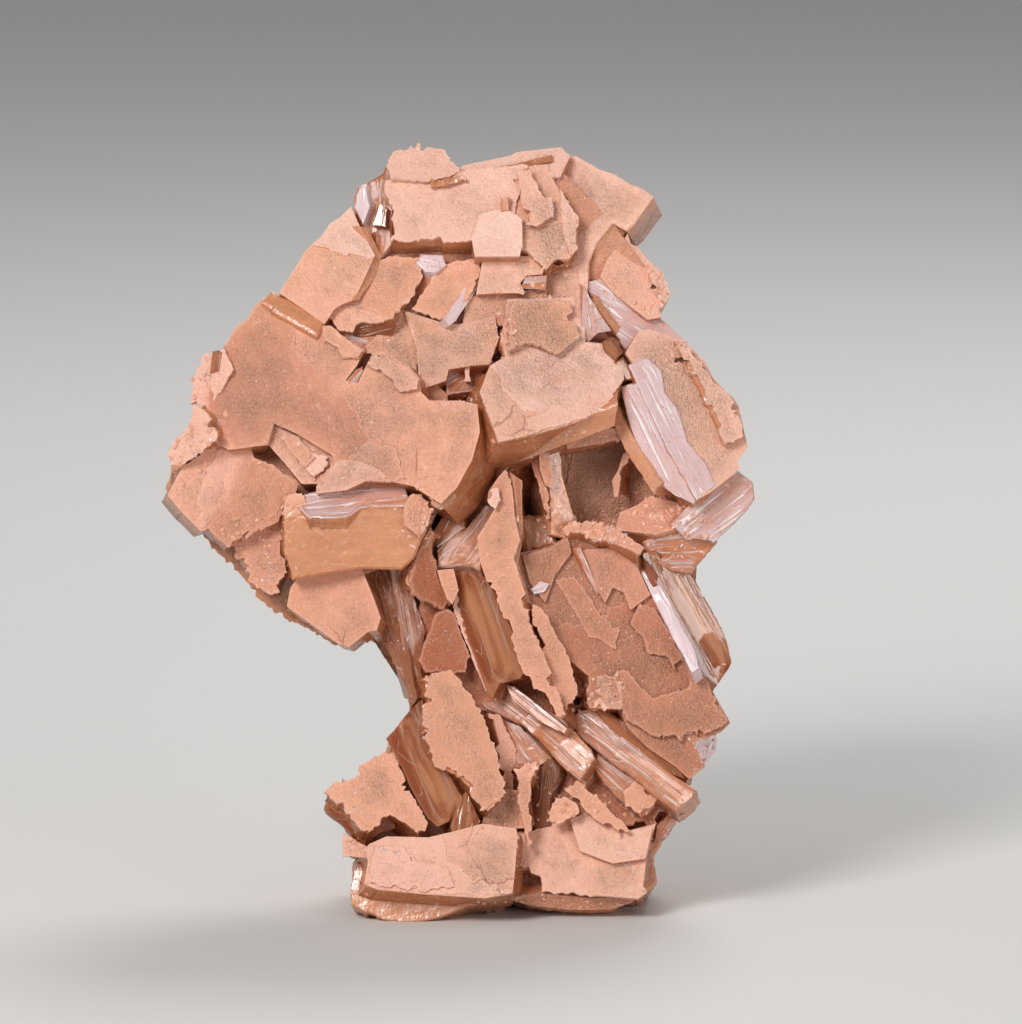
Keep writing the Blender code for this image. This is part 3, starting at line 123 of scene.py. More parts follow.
upperLeftCrystals = [
    ("fanFirstPlate", "rose", 4, (3, 18), 3.8, 0.98,
     [(-14.4, 50.1), (-13.6, 51.4), (-12.3, 53.5), (-11, 54.7), (-10.4, 55.6), (-9.5, 56.2), (-8.7, 57),
     (-8, 55.4), (-6.8, 53.1), (-7.5, 51.5), (-8.2, 50), (-8.6, 49.5), (-9.4, 49.2), (-10, 48.8),
     (-10.8, 47.6), (-12.6, 48.9)]),
    ("fanSecondPlate", "peach", 3.6, (0, 22), 3.8, 0.98,
     [(-7.4, 52.2), (-5.6, 53.1), (-3.2, 52.9), (-2.6, 52), (-3.2, 50.9), (-4, 49.7), (-4.7, 48.6),
     (-5.3, 48), (-6.5, 47.7), (-8, 47.7), (-8.6, 46.9), (-9.8, 47.2), (-10.6, 48.2)]),
    ("fanThirdPlate", "peach", 3.3, (-8, 20), 4, 0.98,
     [(-1.8, 52), (-0.4, 52.7), (1.6, 52.9), (1.6, 51.4), (0.6, 49.6), (-0.6, 47.9), (-1.6, 47.9),
     (-3, 48.5), (-3.9, 48.8), (-2.9, 50.2)]),
    ("fanThirdEdge", "whiteSheen", 3.6, (22, 14), 3, 1,
     [(1.9, 52.9), (1.95, 51.7), (1.5, 50.6), (0.6, 49.2), (-0.3, 47.9), (-0.8, 47.5), (-1.2, 48),
     (-0.3, 49.4), (0.6, 50.8), (1.3, 52.2)]),
    ("fanGapWall", "honey", 2.3, (-20, 0), 4, 1,
     [(-4.8, 48.4), (-3.4, 50.6), (-2.4, 52.2), (-1.4, 52), (-2.6, 50), (-3.8, 48.2)]),
    ("fanSparkle", "whiteSheen", 2.9, (0, 30), 3, 0.95,
     [(-3.5, 52.6), (-2.8, 51.9), (-1.9, 51.8), (-1.1, 52.4), (-1.4, 53.2), (-3.2, 53.3)]),
]

leftCrystals = [
    ("mainPlate", "tan", 6.6, (-4, 9), 6.6, 0.97,
     [(-17.9, 47.3), (-17, 48), (-16.3, 49.1), (-15.5, 49.8), (-14.9, 48.8), (-11.3, 46.8), (-10.9, 47.5),
     (-10.4, 47.4), (-7.6, 45.5), (-8.2, 44.3), (-9.1, 43.1), (-8.1, 42.9), (-7.6, 44), (-6.9, 45.3),
     (-6.1, 45.4), (-4, 44.2), (-3.2, 43.3), (-3.1, 42.2), (-2.4, 41.5), (0, 41.5), (1.4, 41.2),
     (1.6, 39), (1, 36.8), (-0.2, 34.6), (-1.5, 33.3), (-3.7, 34.7), (-5.6, 35.1), (-7.5, 35.2),
     (-9, 34.6), (-11.2, 35.2), (-9.9, 36.7), (-10.2, 37.2), (-13, 38.9), (-14.8, 39.7), (-15.3, 38),
     (-18.3, 37.6), (-19.3, 38), (-20.2, 40), (-20.1, 42.5), (-19.6, 43.6), (-18.8, 44.8), (-18.8, 45.8)]),
    ("mainPlateBevel", "sandy", 6.4, (26, 4), 5, 1,
     [(-0.4, 41.3), (1.7, 41), (2, 40.3), (2.1, 39), (1.9, 38), (1.3, 36.4), (0.6, 35), (-0.8, 33.2),
     (-1.5, 32.8), (-2.2, 33.3), (-1, 35.4), (-0.2, 38.5)]),
    ("mainPlateLayer", "sandy", 7.75, (-4, 9), 1.6, 1,
     [(-11.4, 34.7), (-9.6, 36.8), (-8, 36.7), (-6.4, 36), (-5.8, 35.4), (-7.5, 35.1), (-9, 34.4),
     (-11.4, 34.1)]),
    ("rimLumpLow", "rose", 7.4, (-20, -4), 5, 0.97,
     [(-23.3, 37.4), (-23.1, 36.2), (-22.2, 36.2), (-20.4, 37.3), (-19.3, 38.2), (-19.2, 38.8),
     (-20, 40.4), (-21.2, 41.2), (-21.3, 40.1), (-22, 39), (-22.8, 38.3)]),
    ("rimLumpHigh", "rose", 5.6, (-20, 5), 5, 0.97,
     [(-21.5, 41.2), (-21.3, 42.6), (-20.9, 44.3), (-20.4, 45.2), (-19.8, 45.5), (-19.3, 45.3),
     (-18.8, 45.9), (-18, 44), (-19.6, 41), (-20.8, 40.6)]),
    ("mainSlotRod", "lilacSheen", 6.3, (10, 10), 3, 1,
     [(-9.1, 43.1), (-8.3, 44.1), (-7.7, 44.3), (-7.6, 43.8), (-8.1, 42.9), (-8.8, 42.8)]),
    ("leftSmoothPlate", "peach", 6, (9, 8), 4.5, 0.97,
     [(-23.3, 34), (-22.1, 36.2), (-20.5, 37.3), (-19.2, 38.4), (-16.8, 38.2), (-16.3, 36.6),
     (-17.5, 34.5), (-19, 31.6), (-20.6, 31.1), (-22, 32.5)]),
    ("leftSideBlock", "honey", 2.4, (-24, 0), 5, 1,
     [(-23.6, 34.5), (-23.2, 36.2), (-20.5, 38), (-19, 36), (-19.6, 32), (-20.6, 31.1), (-23, 33.5)]),
    ("leftSandyPlate", "tan", 6.5, (7, 6), 5, 0.98,
     [(-16.5, 37.1), (-15.1, 36.5), (-12.7, 34.9), (-13, 34.1), (-13.7, 33.5), (-14.3, 32.2),
     (-15.2, 31.5), (-16.1, 31.3), (-17, 30.2), (-18.4, 29.8), (-20.2, 31.3), (-18.7, 33.2),
     (-17.5, 35.2)]),
    ("leftLowerPlate", "tan", 5.3, (2, 2), 4.5, 0.98,
     [(-16.8, 31.4), (-14.1, 32), (-13.7, 30.8), (-13.6, 27.8), (-14.3, 26.2), (-15.2, 26.1),
     (-16.3, 26.8), (-17.3, 27.8), (-17.9, 28.8), (-18.3, 30)]),
    ("leftRimLayer", "brown", 1.9, (-4, -8), 5, 0.96,
     [(-20.6, 31.1), (-20.5, 30.6), (-19, 29.1), (-18.2, 27.9), (-16.8, 26.4), (-14.5, 24.5), (-12, 23.2),
     (-10, 21.8), (-9.4, 21.6), (-8, 22.3), (-6.6, 23), (-8, 28), (-14, 32), (-18.5, 33)]),
    ("leftTipPlate", "peach", 5, (-4, 6), 5, 0.98,
     [(-13.5, 26.6), (-13, 27.3), (-9, 28.3), (-7.9, 28.3), (-6.9, 25.9), (-6.3, 24.2), (-6.6, 23.2),
     (-7.3, 23.1), (-8.8, 21.9), (-9.6, 22.1), (-11.4, 23.4), (-13.8, 25.1)]),
    ("honeyBlock", "honey", 7, (3, -10), 6, 0.98,
     [(-14, 32.2), (-12.9, 33), (-11.9, 32.2), (-9, 32.3), (-8.1, 33.1), (-4.1, 33.4), (-2.6, 32.2),
     (-2.6, 31.2), (-3.7, 28.8), (-4.6, 28), (-8, 28.1), (-13.3, 27.2), (-13.9, 29)]),
    ("honeyBlockEnd", "peach", 7.2, (24, 4), 4.5, 0.98,
     [(-4.3, 33.3), (-3.9, 34), (-3, 34.1), (-2, 32.8), (-2.4, 31.6), (-3.2, 30.6), (-4.4, 31.6)]),
    ("honeyBlockKnob", "peach", 7.3, (-8, 14), 4, 0.98,
     [(-13.7, 34), (-12.6, 34.1), (-11.8, 32.5), (-12.2, 31.9), (-13.6, 31.9), (-14.2, 32.5)]),
]

middleCrystals = [
    ("centreRecessLeft", "sandy", 3.6, (6, 12), 4, 1,
     [(-7.6, 46), (-6.7, 46.8), (-5.1, 47.9), (-4.7, 48.8), (-3.4, 48.4), (-3, 45.6), (-3.6, 43.8),
     (-6.2, 44.6), (-7.6, 45.2)]),
    ("centreRecessRight", "sandy", 4, (-4, 12), 5, 1,
     [(-4.5, 48.7), (-1.3, 47.7), (0.1, 47.6), (2.8, 48.3), (3.1, 46.4), (2.8, 45.6), (2.4, 44.4),
     (0.9, 44.3), (-0.9, 44), (-1.1, 43.1), (-2.9, 42.5), (-3.3, 43.2), (-3.4, 45.6)]),
    ("centreSteps", "lilacSheen", 3, (10, 20), 4, 1,
     [(-1.2, 44.4), (1.9, 44.8), (2, 43.2), (1.4, 42.4), (0, 42.2), (-1, 42)]),
    ("centreUpperStep", "sandy", 3.2, (0, 14), 3.5, 1,
     [(0.2, 47.5), (2.6, 48), (3.6, 47), (6.5, 47), (7, 50.4), (1.6, 50.3), (0.5, 49.4)]),
    ("centreTopStep", "sandyPink", 3.7, (0, 12), 3.5, 1,
     [(1.9, 53.2), (6.9, 53), (6.6, 51.6), (5.3, 51.5), (4.8, 50.9), (5.2, 50.1), (3, 50.1), (1.3, 50)]),
    ("centreBlock", "cream", 5.3, (11, 20), 6, 0.98,
     [(1.6, 42.2), (2.4, 44.3), (3.6, 45), (3.3, 46.4), (3.8, 49.6), (10, 49.8), (10, 46.2), (11.3, 46.1),
     (12, 45), (13, 44.2), (13.1, 43.2), (12.2, 42), (12.5, 41.1), (9.8, 40), (6.3, 38.9), (3.1, 38.2)]),
    ("centreBlockCrust", "sandy", 2.9, (8, 10), 3, 1,
     [(8.2, 38.8), (10.6, 39.4), (12.4, 39.3), (13, 38.5), (10.6, 38), (8.6, 37.7)]),
    ("recessWall", "mauve", 2.2, (-30, 0), 6, 1,
     [(3.2, 38.6), (1.7, 38.8), (0.6, 35.6), (-0.6, 33.2), (0.3, 31.4), (2.4, 32.4), (3.4, 35.3),
     (4.4, 37.4)]),
    ("lilacPrismLeft", "smoky", 3, (-26, 0), 5, 0.98,
     [(-7.7, 28.2), (-5.4, 28.2), (-5, 25), (-3.9, 21), (-3.4, 17.8), (-4, 16.8), (-4.3, 18.4), (-5, 20),
     (-6.3, 22.2), (-6.7, 24), (-6.6, 25.4), (-7.5, 27.2)]),
    ("lilacPrismRight", "smoky", 3.4, (12, 0), 5, 0.98,
     [(-5.6, 28.3), (-4.4, 28.3), (-3.3, 24.8), (-2.7, 23.2), (-3.2, 21), (-2.9, 19.2), (-3.4, 17.6),
     (-4.3, 20.5), (-5, 24)]),
    ("kiteBlade", "rust", 5, (24, -12), 4, 0.98,
     [(-2.4, 31.2), (-1.9, 30.9), (-2.1, 29.6), (-1.7, 28.2), (-1.2, 26.4), (-0.9, 25.4), (-1.2, 24.8),
     (-2, 24.9), (-3, 25.4), (-3.9, 26.1), (-4.2, 27), (-4, 27.9), (-3.1, 30)]),
    ("kiteInnerBlade", "peach", 4.9, (10, 10), 3, 0.98,
     [(-1.8, 28), (-0.5, 28.1), (-0.1, 26.4), (-0.6, 25.3), (-1, 25.7), (-1.5, 27)]),
    ("mauvePlate", "rust", 3.9, (10, 5), 4.5, 0.98,
     [(-1.2, 25), (-2, 24.5), (-2.6, 22.9), (-3.3, 20.8), (-2.7, 19.8), (-0.9, 19.6), (0.6, 19.6),
     (1, 21.1), (0.2, 22.8), (-0.4, 24.6)]),
    ("amberCrystal", "clear", 4.4, (-24, -4), 5.5, 0.98,
     [(-0.4, 29), (0.9, 28.4), (2, 27.4), (3.2, 25.6), (4.2, 23), (5.2, 20.1), (4.8, 19.3), (3.1, 18.9),
     (2.6, 17.7), (2.1, 18.2), (0.9, 21.5), (-0.1, 23.9), (-0.9, 26)]),
    ("amberCrystalHead", "glassy", 4.1, (-14, 22), 4.5, 0.98,
     [(-2, 29.6), (-0.8, 30.8), (0.4, 31.4), (2, 33.4), (2.8, 33), (2.2, 30.4), (1.6, 28), (0.3, 28.4),
     (-1.9, 28.2)]),
    ("lilacBlade", "lilacSheen", 3.5, (-20, 18), 4, 0.98,
     [(-2.3, 31), (-1.4, 32.4), (-0.5, 33.4), (0.2, 33.4), (0.4, 31.4), (-1, 30.4), (-1.9, 29.8)]),
    ("tallBlade", "tan", 5.7, (-11, 2), 5.5, 0.97,
     [(3.6, 36), (3, 35.3), (2.3, 34.3), (2.2, 33.5), (2.8, 32.9), (1.4, 30.6), (1.6, 28.8), (2.3, 26.6),
     (3.4, 24.6), (4.9, 20.2), (5.9, 18.5), (6.8, 18.2), (7.6, 16.3), (8.4, 16.4), (8, 18), (7, 20.6),
     (5.6, 24.2), (5.7, 24.9), (4.3, 29), (4.8, 30.4), (4.4, 32.2), (4.2, 34.6)]),
    ("tallBladeTwin", "tan", 5.2, (8, 0), 5.5, 0.97,
     [(5.8, 25.3), (6.3, 25.1), (6.9, 24.5), (7.6, 23), (8.4, 21.8), (8.9, 20.3), (9.4, 18.3), (9, 17.4),
     (8.4, 16.3), (7.9, 16.2), (6.9, 20.4), (5.8, 24)]),
    ("slotBladeLeft", "tan", 2.8, (-15, 0), 5, 1,
     [(5.5, 37.2), (6.4, 37.3), (6.7, 35.6), (7.3, 33), (7.3, 32), (6.9, 32), (6.3, 34.2)]),
    ("slotBladeRight", "tan", 3.6, (10, 0), 4, 1,
     [(6.3, 37.3), (7.1, 37.4), (7.5, 35.2), (7.3, 34.5), (6.8, 34.8), (6.4, 36)]),
    ("slotAmberWall", "honey", 2.4, (16, 0), 5, 1,
     [(6.9, 37.6), (8.1, 37.8), (8.2, 35.6), (9.4, 31.6), (8.6, 30.4), (7.2, 30.8), (7.1, 33.4)]),
    ("slotLedge", "brown", 1.5, (0, 12), 5, 1,
     [(4.6, 32.3), (6.4, 32.4), (7.3, 32.2), (7.8, 29.8), (5, 29.2)]),
]

rightCrystals = [
    ("rightPlate", "sandyPink", 3.7, (13, 11), 6, 0.97,
     [(14.3, 47.1), (15.2, 47.2), (17, 46.6), (18, 46.2), (19.5, 44.7), (20.3, 43.2), (21.2, 42.3),
     (21.9, 41.7), (22.3, 41), (22.8, 38.6), (23, 37.8), (22.2, 36.8), (22.3, 36.2), (22, 35.8),
     (20, 34.2), (18.9, 33.6), (16.8, 37.2), (15.2, 40.6), (14.3, 43.2), (14, 44.2), (13.2, 45.3)]),
    ("rightPlateBevel", "silverySheen", 4.2, (-18, -6), 5, 0.97,
     [(12.8, 42.6), (14.5, 43.2), (15.3, 40.7), (16.9, 37.3), (19.3, 34.1), (18.6, 33.1), (17, 34),
     (15.6, 35), (14.4, 37), (13.3, 40.2)]),
    ("rightLilacBreak", "silverySheen", 2.6, (10, -8), 7, 0.96,
     [(22.1, 36), (22.9, 35.4), (23.4, 35), (23.5, 34.2), (23.6, 33.7), (22.7, 32.4), (21.3, 31.1),
     (20.2, 30.1), (18, 30.4), (16.8, 31.6), (18.2, 33), (19.5, 34.2), (20.9, 35.4)]),
    ("rightAmberBreak", "glassy", 1.9, (8, 2), 6, 0.96,
     [(14.6, 30.2), (15.8, 31.4), (18, 31.4), (20.6, 31), (20.6, 30.2), (19.6, 29), (18.5, 27.6),
     (17, 27.8), (15, 29.2)]),
    ("rightLedge", "peach", 2, (0, 28), 5, 1,
     [(12.8, 32.6), (14.2, 33.2), (15.2, 33.9), (17.3, 33.4), (19.2, 33.4), (18.4, 31.6), (15.6, 30.8),
     (12.4, 31.2)]),
    ("hollowWall", "sandy", -2.2, (4, -6), 5, 1,
     [(6.6, 38.4), (13.2, 39.4), (15.6, 35.2), (15.4, 32.6), (13, 31), (8, 31.4)]),
    ("hollowBlade", "peach", 0.4, (-20, 0), 5, 1,
     [(13.7, 37.6), (13.5, 36.6), (12.9, 35.9), (12.8, 35), (12.7, 33.8), (12.3, 33.8), (12.2, 35.2),
     (12.6, 36), (13, 37.3)]),
    ("sandySlope", "mauve", 2.7, (10, 8), 6.5, 0.97,
     [(4.4, 29.3), (7, 29.8), (8.7, 30.8), (10, 30.8), (12, 30.2), (13.4, 29.8), (14.3, 29), (16.3, 24.6),
     (18.4, 20.6), (18.8, 19.7), (19.6, 19.5), (20.2, 18.3), (21.6, 15.8), (20.9, 15.1), (18.7, 14.2),
     (19.6, 12.3), (18.3, 11.3), (17.2, 12.3), (15, 13.8), (13.4, 15.4), (12.8, 16.9), (10.3, 17),
     (10.3, 19.5), (9, 20.6), (7.5, 21.8), (5.7, 24.8), (4.3, 28.2)]),
    ("sandySlopeCrest", "peach", 3.8, (0, 24), 4, 1,
     [(8.1, 31.3), (8.7, 31.8), (10, 32), (10.9, 32), (12, 31.5), (13.6, 30.6), (14.7, 29.8), (14.2, 29),
     (12, 30.1), (10, 30.7), (8.6, 30.7)]),
    ("sandySlopeKnob", "sandy", 3.7, (-8, 5), 5, 0.98,
     [(10.3, 17), (10.1, 18.4), (10.5, 19.4), (11.6, 19.7), (12.8, 19), (13, 17.8), (12.9, 16.9)]),
    ("lilacStrip", "whiteSheen", 3.2, (-8, 20), 3, 1,
     [(14.3, 28.9), (14.8, 29.1), (16.6, 25.6), (18.7, 21.6), (19.1, 20.3), (18.5, 19.8), (16.3, 24),
     (14.3, 28.1)]),
    ("rightGlassyPlate", "clear", 1.4, (18, 0), 6, 0.96,
     [(14.5, 29.4), (15.8, 29.6), (18, 27.9), (18.7, 27.5), (19.9, 25.3), (21, 23.4), (21.4, 22.3),
     (21.8, 20.6), (21.5, 20), (20.3, 18.3), (18.6, 20.4), (16, 25)]),
    ("rightLowTips", "whiteSheen", 0.6, (20, -5), 5, 0.96,
     [(17.8, 14.6), (19.2, 15.4), (20.6, 14.9), (20.6, 13.6), (19.7, 12.3), (18.2, 11.9)]),
]

lowerCrystals = [
    ("fanBarUpper", "glassy", 3.3, (-8, 12), 5, 0.97,
     [(0.9, 18.4), (2.7, 17.9), (3.4, 19.2), (4, 19.2), (5.2, 18), (6.6, 17), (8.2, 16.2), (10.4, 13.8),
     (10.8, 13), (9.6, 11.2), (8, 12.5), (6.2, 14.6), (4.6, 15.8), (2, 17)]),
    ("fanBarMiddle", "glassy", 3.8, (-6, 14), 5, 0.97,
     [(8.5, 15.9), (9.6, 16.8), (10.7, 17), (12.3, 15.2), (14.8, 13.5), (16.4, 12.1), (18, 11),
     (18.9, 10.5), (18.4, 9.8), (17.2, 8.8), (15.8, 9.8), (14, 11.2), (11.5, 13.1), (10, 14.3)]),
    ("fanBarGlass", "clear", 3, (12, 24), 4, 0.97,
     [(10.5, 17.2), (11.6, 17), (13.2, 15.8), (15.6, 14.1), (17.3, 12.6), (18.1, 11.3), (16.4, 11.9),
     (14.8, 13.3), (12.3, 14.9)]),
    ("fanBarLower", "glassy", 3.3, (-5, 6), 4.5, 0.97,
     [(10.4, 12.4), (11, 13.4), (12, 12.7), (14.5, 11), (15.8, 9.8), (15.4, 9.1), (14.4, 8.3), (13.4, 9),
     (11.5, 10.8)]),
    ("fanBarLast", "tan", 3.9, (0, 10), 4.5, 0.97,
     [(8.2, 10.6), (8.6, 11.2), (9.9, 11.2), (11, 10.2), (12.9, 8.1), (13.7, 7.2), (12.6, 6.9),
     (10.5, 8.4), (9, 9.9)]),
    ("fanKnob", "peach", 4.1, (-10, 6), 5, 0.97,
     [(7.1, 8), (7.5, 10), (8.5, 9.9), (9.4, 9.3), (9.5, 8.6), (8.5, 8.1), (7.8, 7.7)]),
    ("lowBrownPrism", "smoky", 2.7, (-20, 0), 5, 0.98,
     [(5.6, 12.8), (7.3, 13.1), (8, 12.2), (7.9, 11.4), (7.4, 10), (7.2, 7.6), (5.8, 7)]),
    ("lowLump", "peach", 4.4, (-10, 18), 4, 0.97,
     [(4.2, 12.1), (5.5, 13), (6.2, 12.7), (6, 11.8), (5.6, 11.1), (4.7, 11.1)]),
    ("lowRod", "peach", 4.7, (6, 0), 4, 0.98,
     [(4.7, 11.3), (5.7, 11.4), (5.8, 6.2), (5.4, 5.9), (5.1, 7), (4.6, 9.4)]),
    ("lowWedge", "peach", 2.9, (20, 0), 5, 0.98,
     [(2.2, 16.6), (3.2, 16.5), (3.7, 15.2), (4.6, 13.6), (4.4, 12.2), (4.2, 10), (3.4, 10.6),
     (2.9, 13.6)]),
    ("lowAmberTriangle", "glassy", 2.6, (-4, 8), 5, 0.98,
     [(3.5, 16), (4.8, 15.6), (7.4, 13), (6, 12.2), (4.4, 12.2), (3.9, 14.4)]),
    ("lowShelf", "sandy", 3.4, (4, 0), 6, 1,
     [(1.6, 7.4), (2.2, 9.2), (3.3, 10.6), (4.8, 10.4), (5.2, 7.4)]),
    ("peachBar", "peach", 5.5, (8, 8), 5.5, 0.97,
     [(-3, 19.3), (-2.4, 19.9), (-0.9, 20.1), (1, 18.1), (1.6, 17), (2.7, 14), (3.6, 10.9), (3.8, 10.2),
     (2.3, 8.8), (1.8, 9), (-0.3, 11.4), (-1.4, 11.9), (-2.1, 12.6), (-2.4, 14), (-3.1, 15), (-2.9, 18)]),
    ("amberPrism", "clear", 4.5, (-13, 0), 6, 0.97,
     [(-3.9, 17), (-3, 17.8), (-2.6, 14), (-0.8, 11.6), (0.2, 9.9), (0.1, 9.1), (-0.9, 7.9), (-1.8, 7.5),
     (-2.6, 8.1), (-4, 10.6), (-5.2, 13.3), (-6, 14.5), (-5.2, 15.4)]),
    ("amberFoot", "clear", 5.2, (4, 8), 4, 0.97,
     [(-0.4, 6.1), (0.2, 6), (0.9, 6.8), (1.7, 8), (1, 9.5), (0.5, 10.5), (-0.2, 9.4), (-0.8, 7.6)]),
    ("leftTipLow", "peach", 4.5, (5, 18), 5, 0.97,
     [(-10.8, 10.3), (-9.4, 11.6), (-8.7, 11.5), (-8.2, 12.2), (-6.2, 13.5), (-5.3, 13.5), (-4.2, 10.8),
     (-2.8, 8.4), (-2.6, 7.6), (-3.3, 6.8), (-4.6, 7.9), (-5.6, 8.5), (-7.4, 6.9), (-9.2, 9),
     (-10.4, 10)]),
    ("leftTipAmber", "clear", 3.4, (-6, -8), 5, 0.96,
     [(-10.4, 10), (-10.8, 9.2), (-10.8, 8.6), (-8.4, 6.6), (-7.6, 5.8), (-6.5, 6.7), (-5.2, 7.4),
     (-5.6, 9.4), (-9, 10.4)]),
    ("baseBlockLeft", "rose", 6.1, (0, 15), 4.5, 0.98,
     [(-7.6, 3), (-7.3, 4.9), (-7.7, 5.6), (-7.2, 6.2), (-5.8, 6.8), (-2.5, 6.7), (-0.4, 7.2), (1.8, 7.8),
     (4.5, 7.4), (4.6, 6.8), (4.4, 4.2), (4.2, 2.3), (2, 1.9), (-2.6, 2.2), (-6.6, 2.6)]),
    ("baseBlockLeftRoot", "honey", 3.8, (-4, 12), 10, 0.96,
     [(-8.7, 1.3), (-8.8, 2.2), (-8.6, 4), (-8, 5.2), (3.6, 6), (3.4, 1.9), (2, 1.3), (0, 1), (-1.5, 0.4),
     (-3, 0), (-4.5, -0.1), (-6, 0.1), (-7.6, 0.6)]),
    ("baseLeftChip", "rose", 4.9, (-10, 5), 4, 0.98,
     [(-9.4, 5.1), (-9.3, 7.1), (-8.6, 6.7), (-7.4, 6), (-7.2, 4.9)]),
    ("baseBlockRight", "rose", 3.2, (-2, 14), 5, 0.98,
     [(4.2, 7.2), (5.8, 7.2), (8.6, 8.2), (10.5, 8.9), (13.5, 7.2), (15.6, 7.7), (15.2, 6.3), (14.9, 5.2),
     (14.6, 2.8), (14.9, 2.3), (14.2, 1.8), (10, 2.1), (6.4, 2.2), (6.3, 3.6), (4.2, 3.7)]),
    ("baseBlockRightRoot", "honey", 0.3, (4, 10), 10, 0.97,
     [(3, 2.2), (4, 1.9), (5.5, 1.1), (8.5, 0.65), (12, 0.6), (13, 1.2), (15.1, 2.4), (15.8, 3),
     (15.5, 5), (15.9, 5.7), (16.8, 7.2), (17.6, 8.2), (17.2, 8.9), (12, 10), (3, 8)]),
]

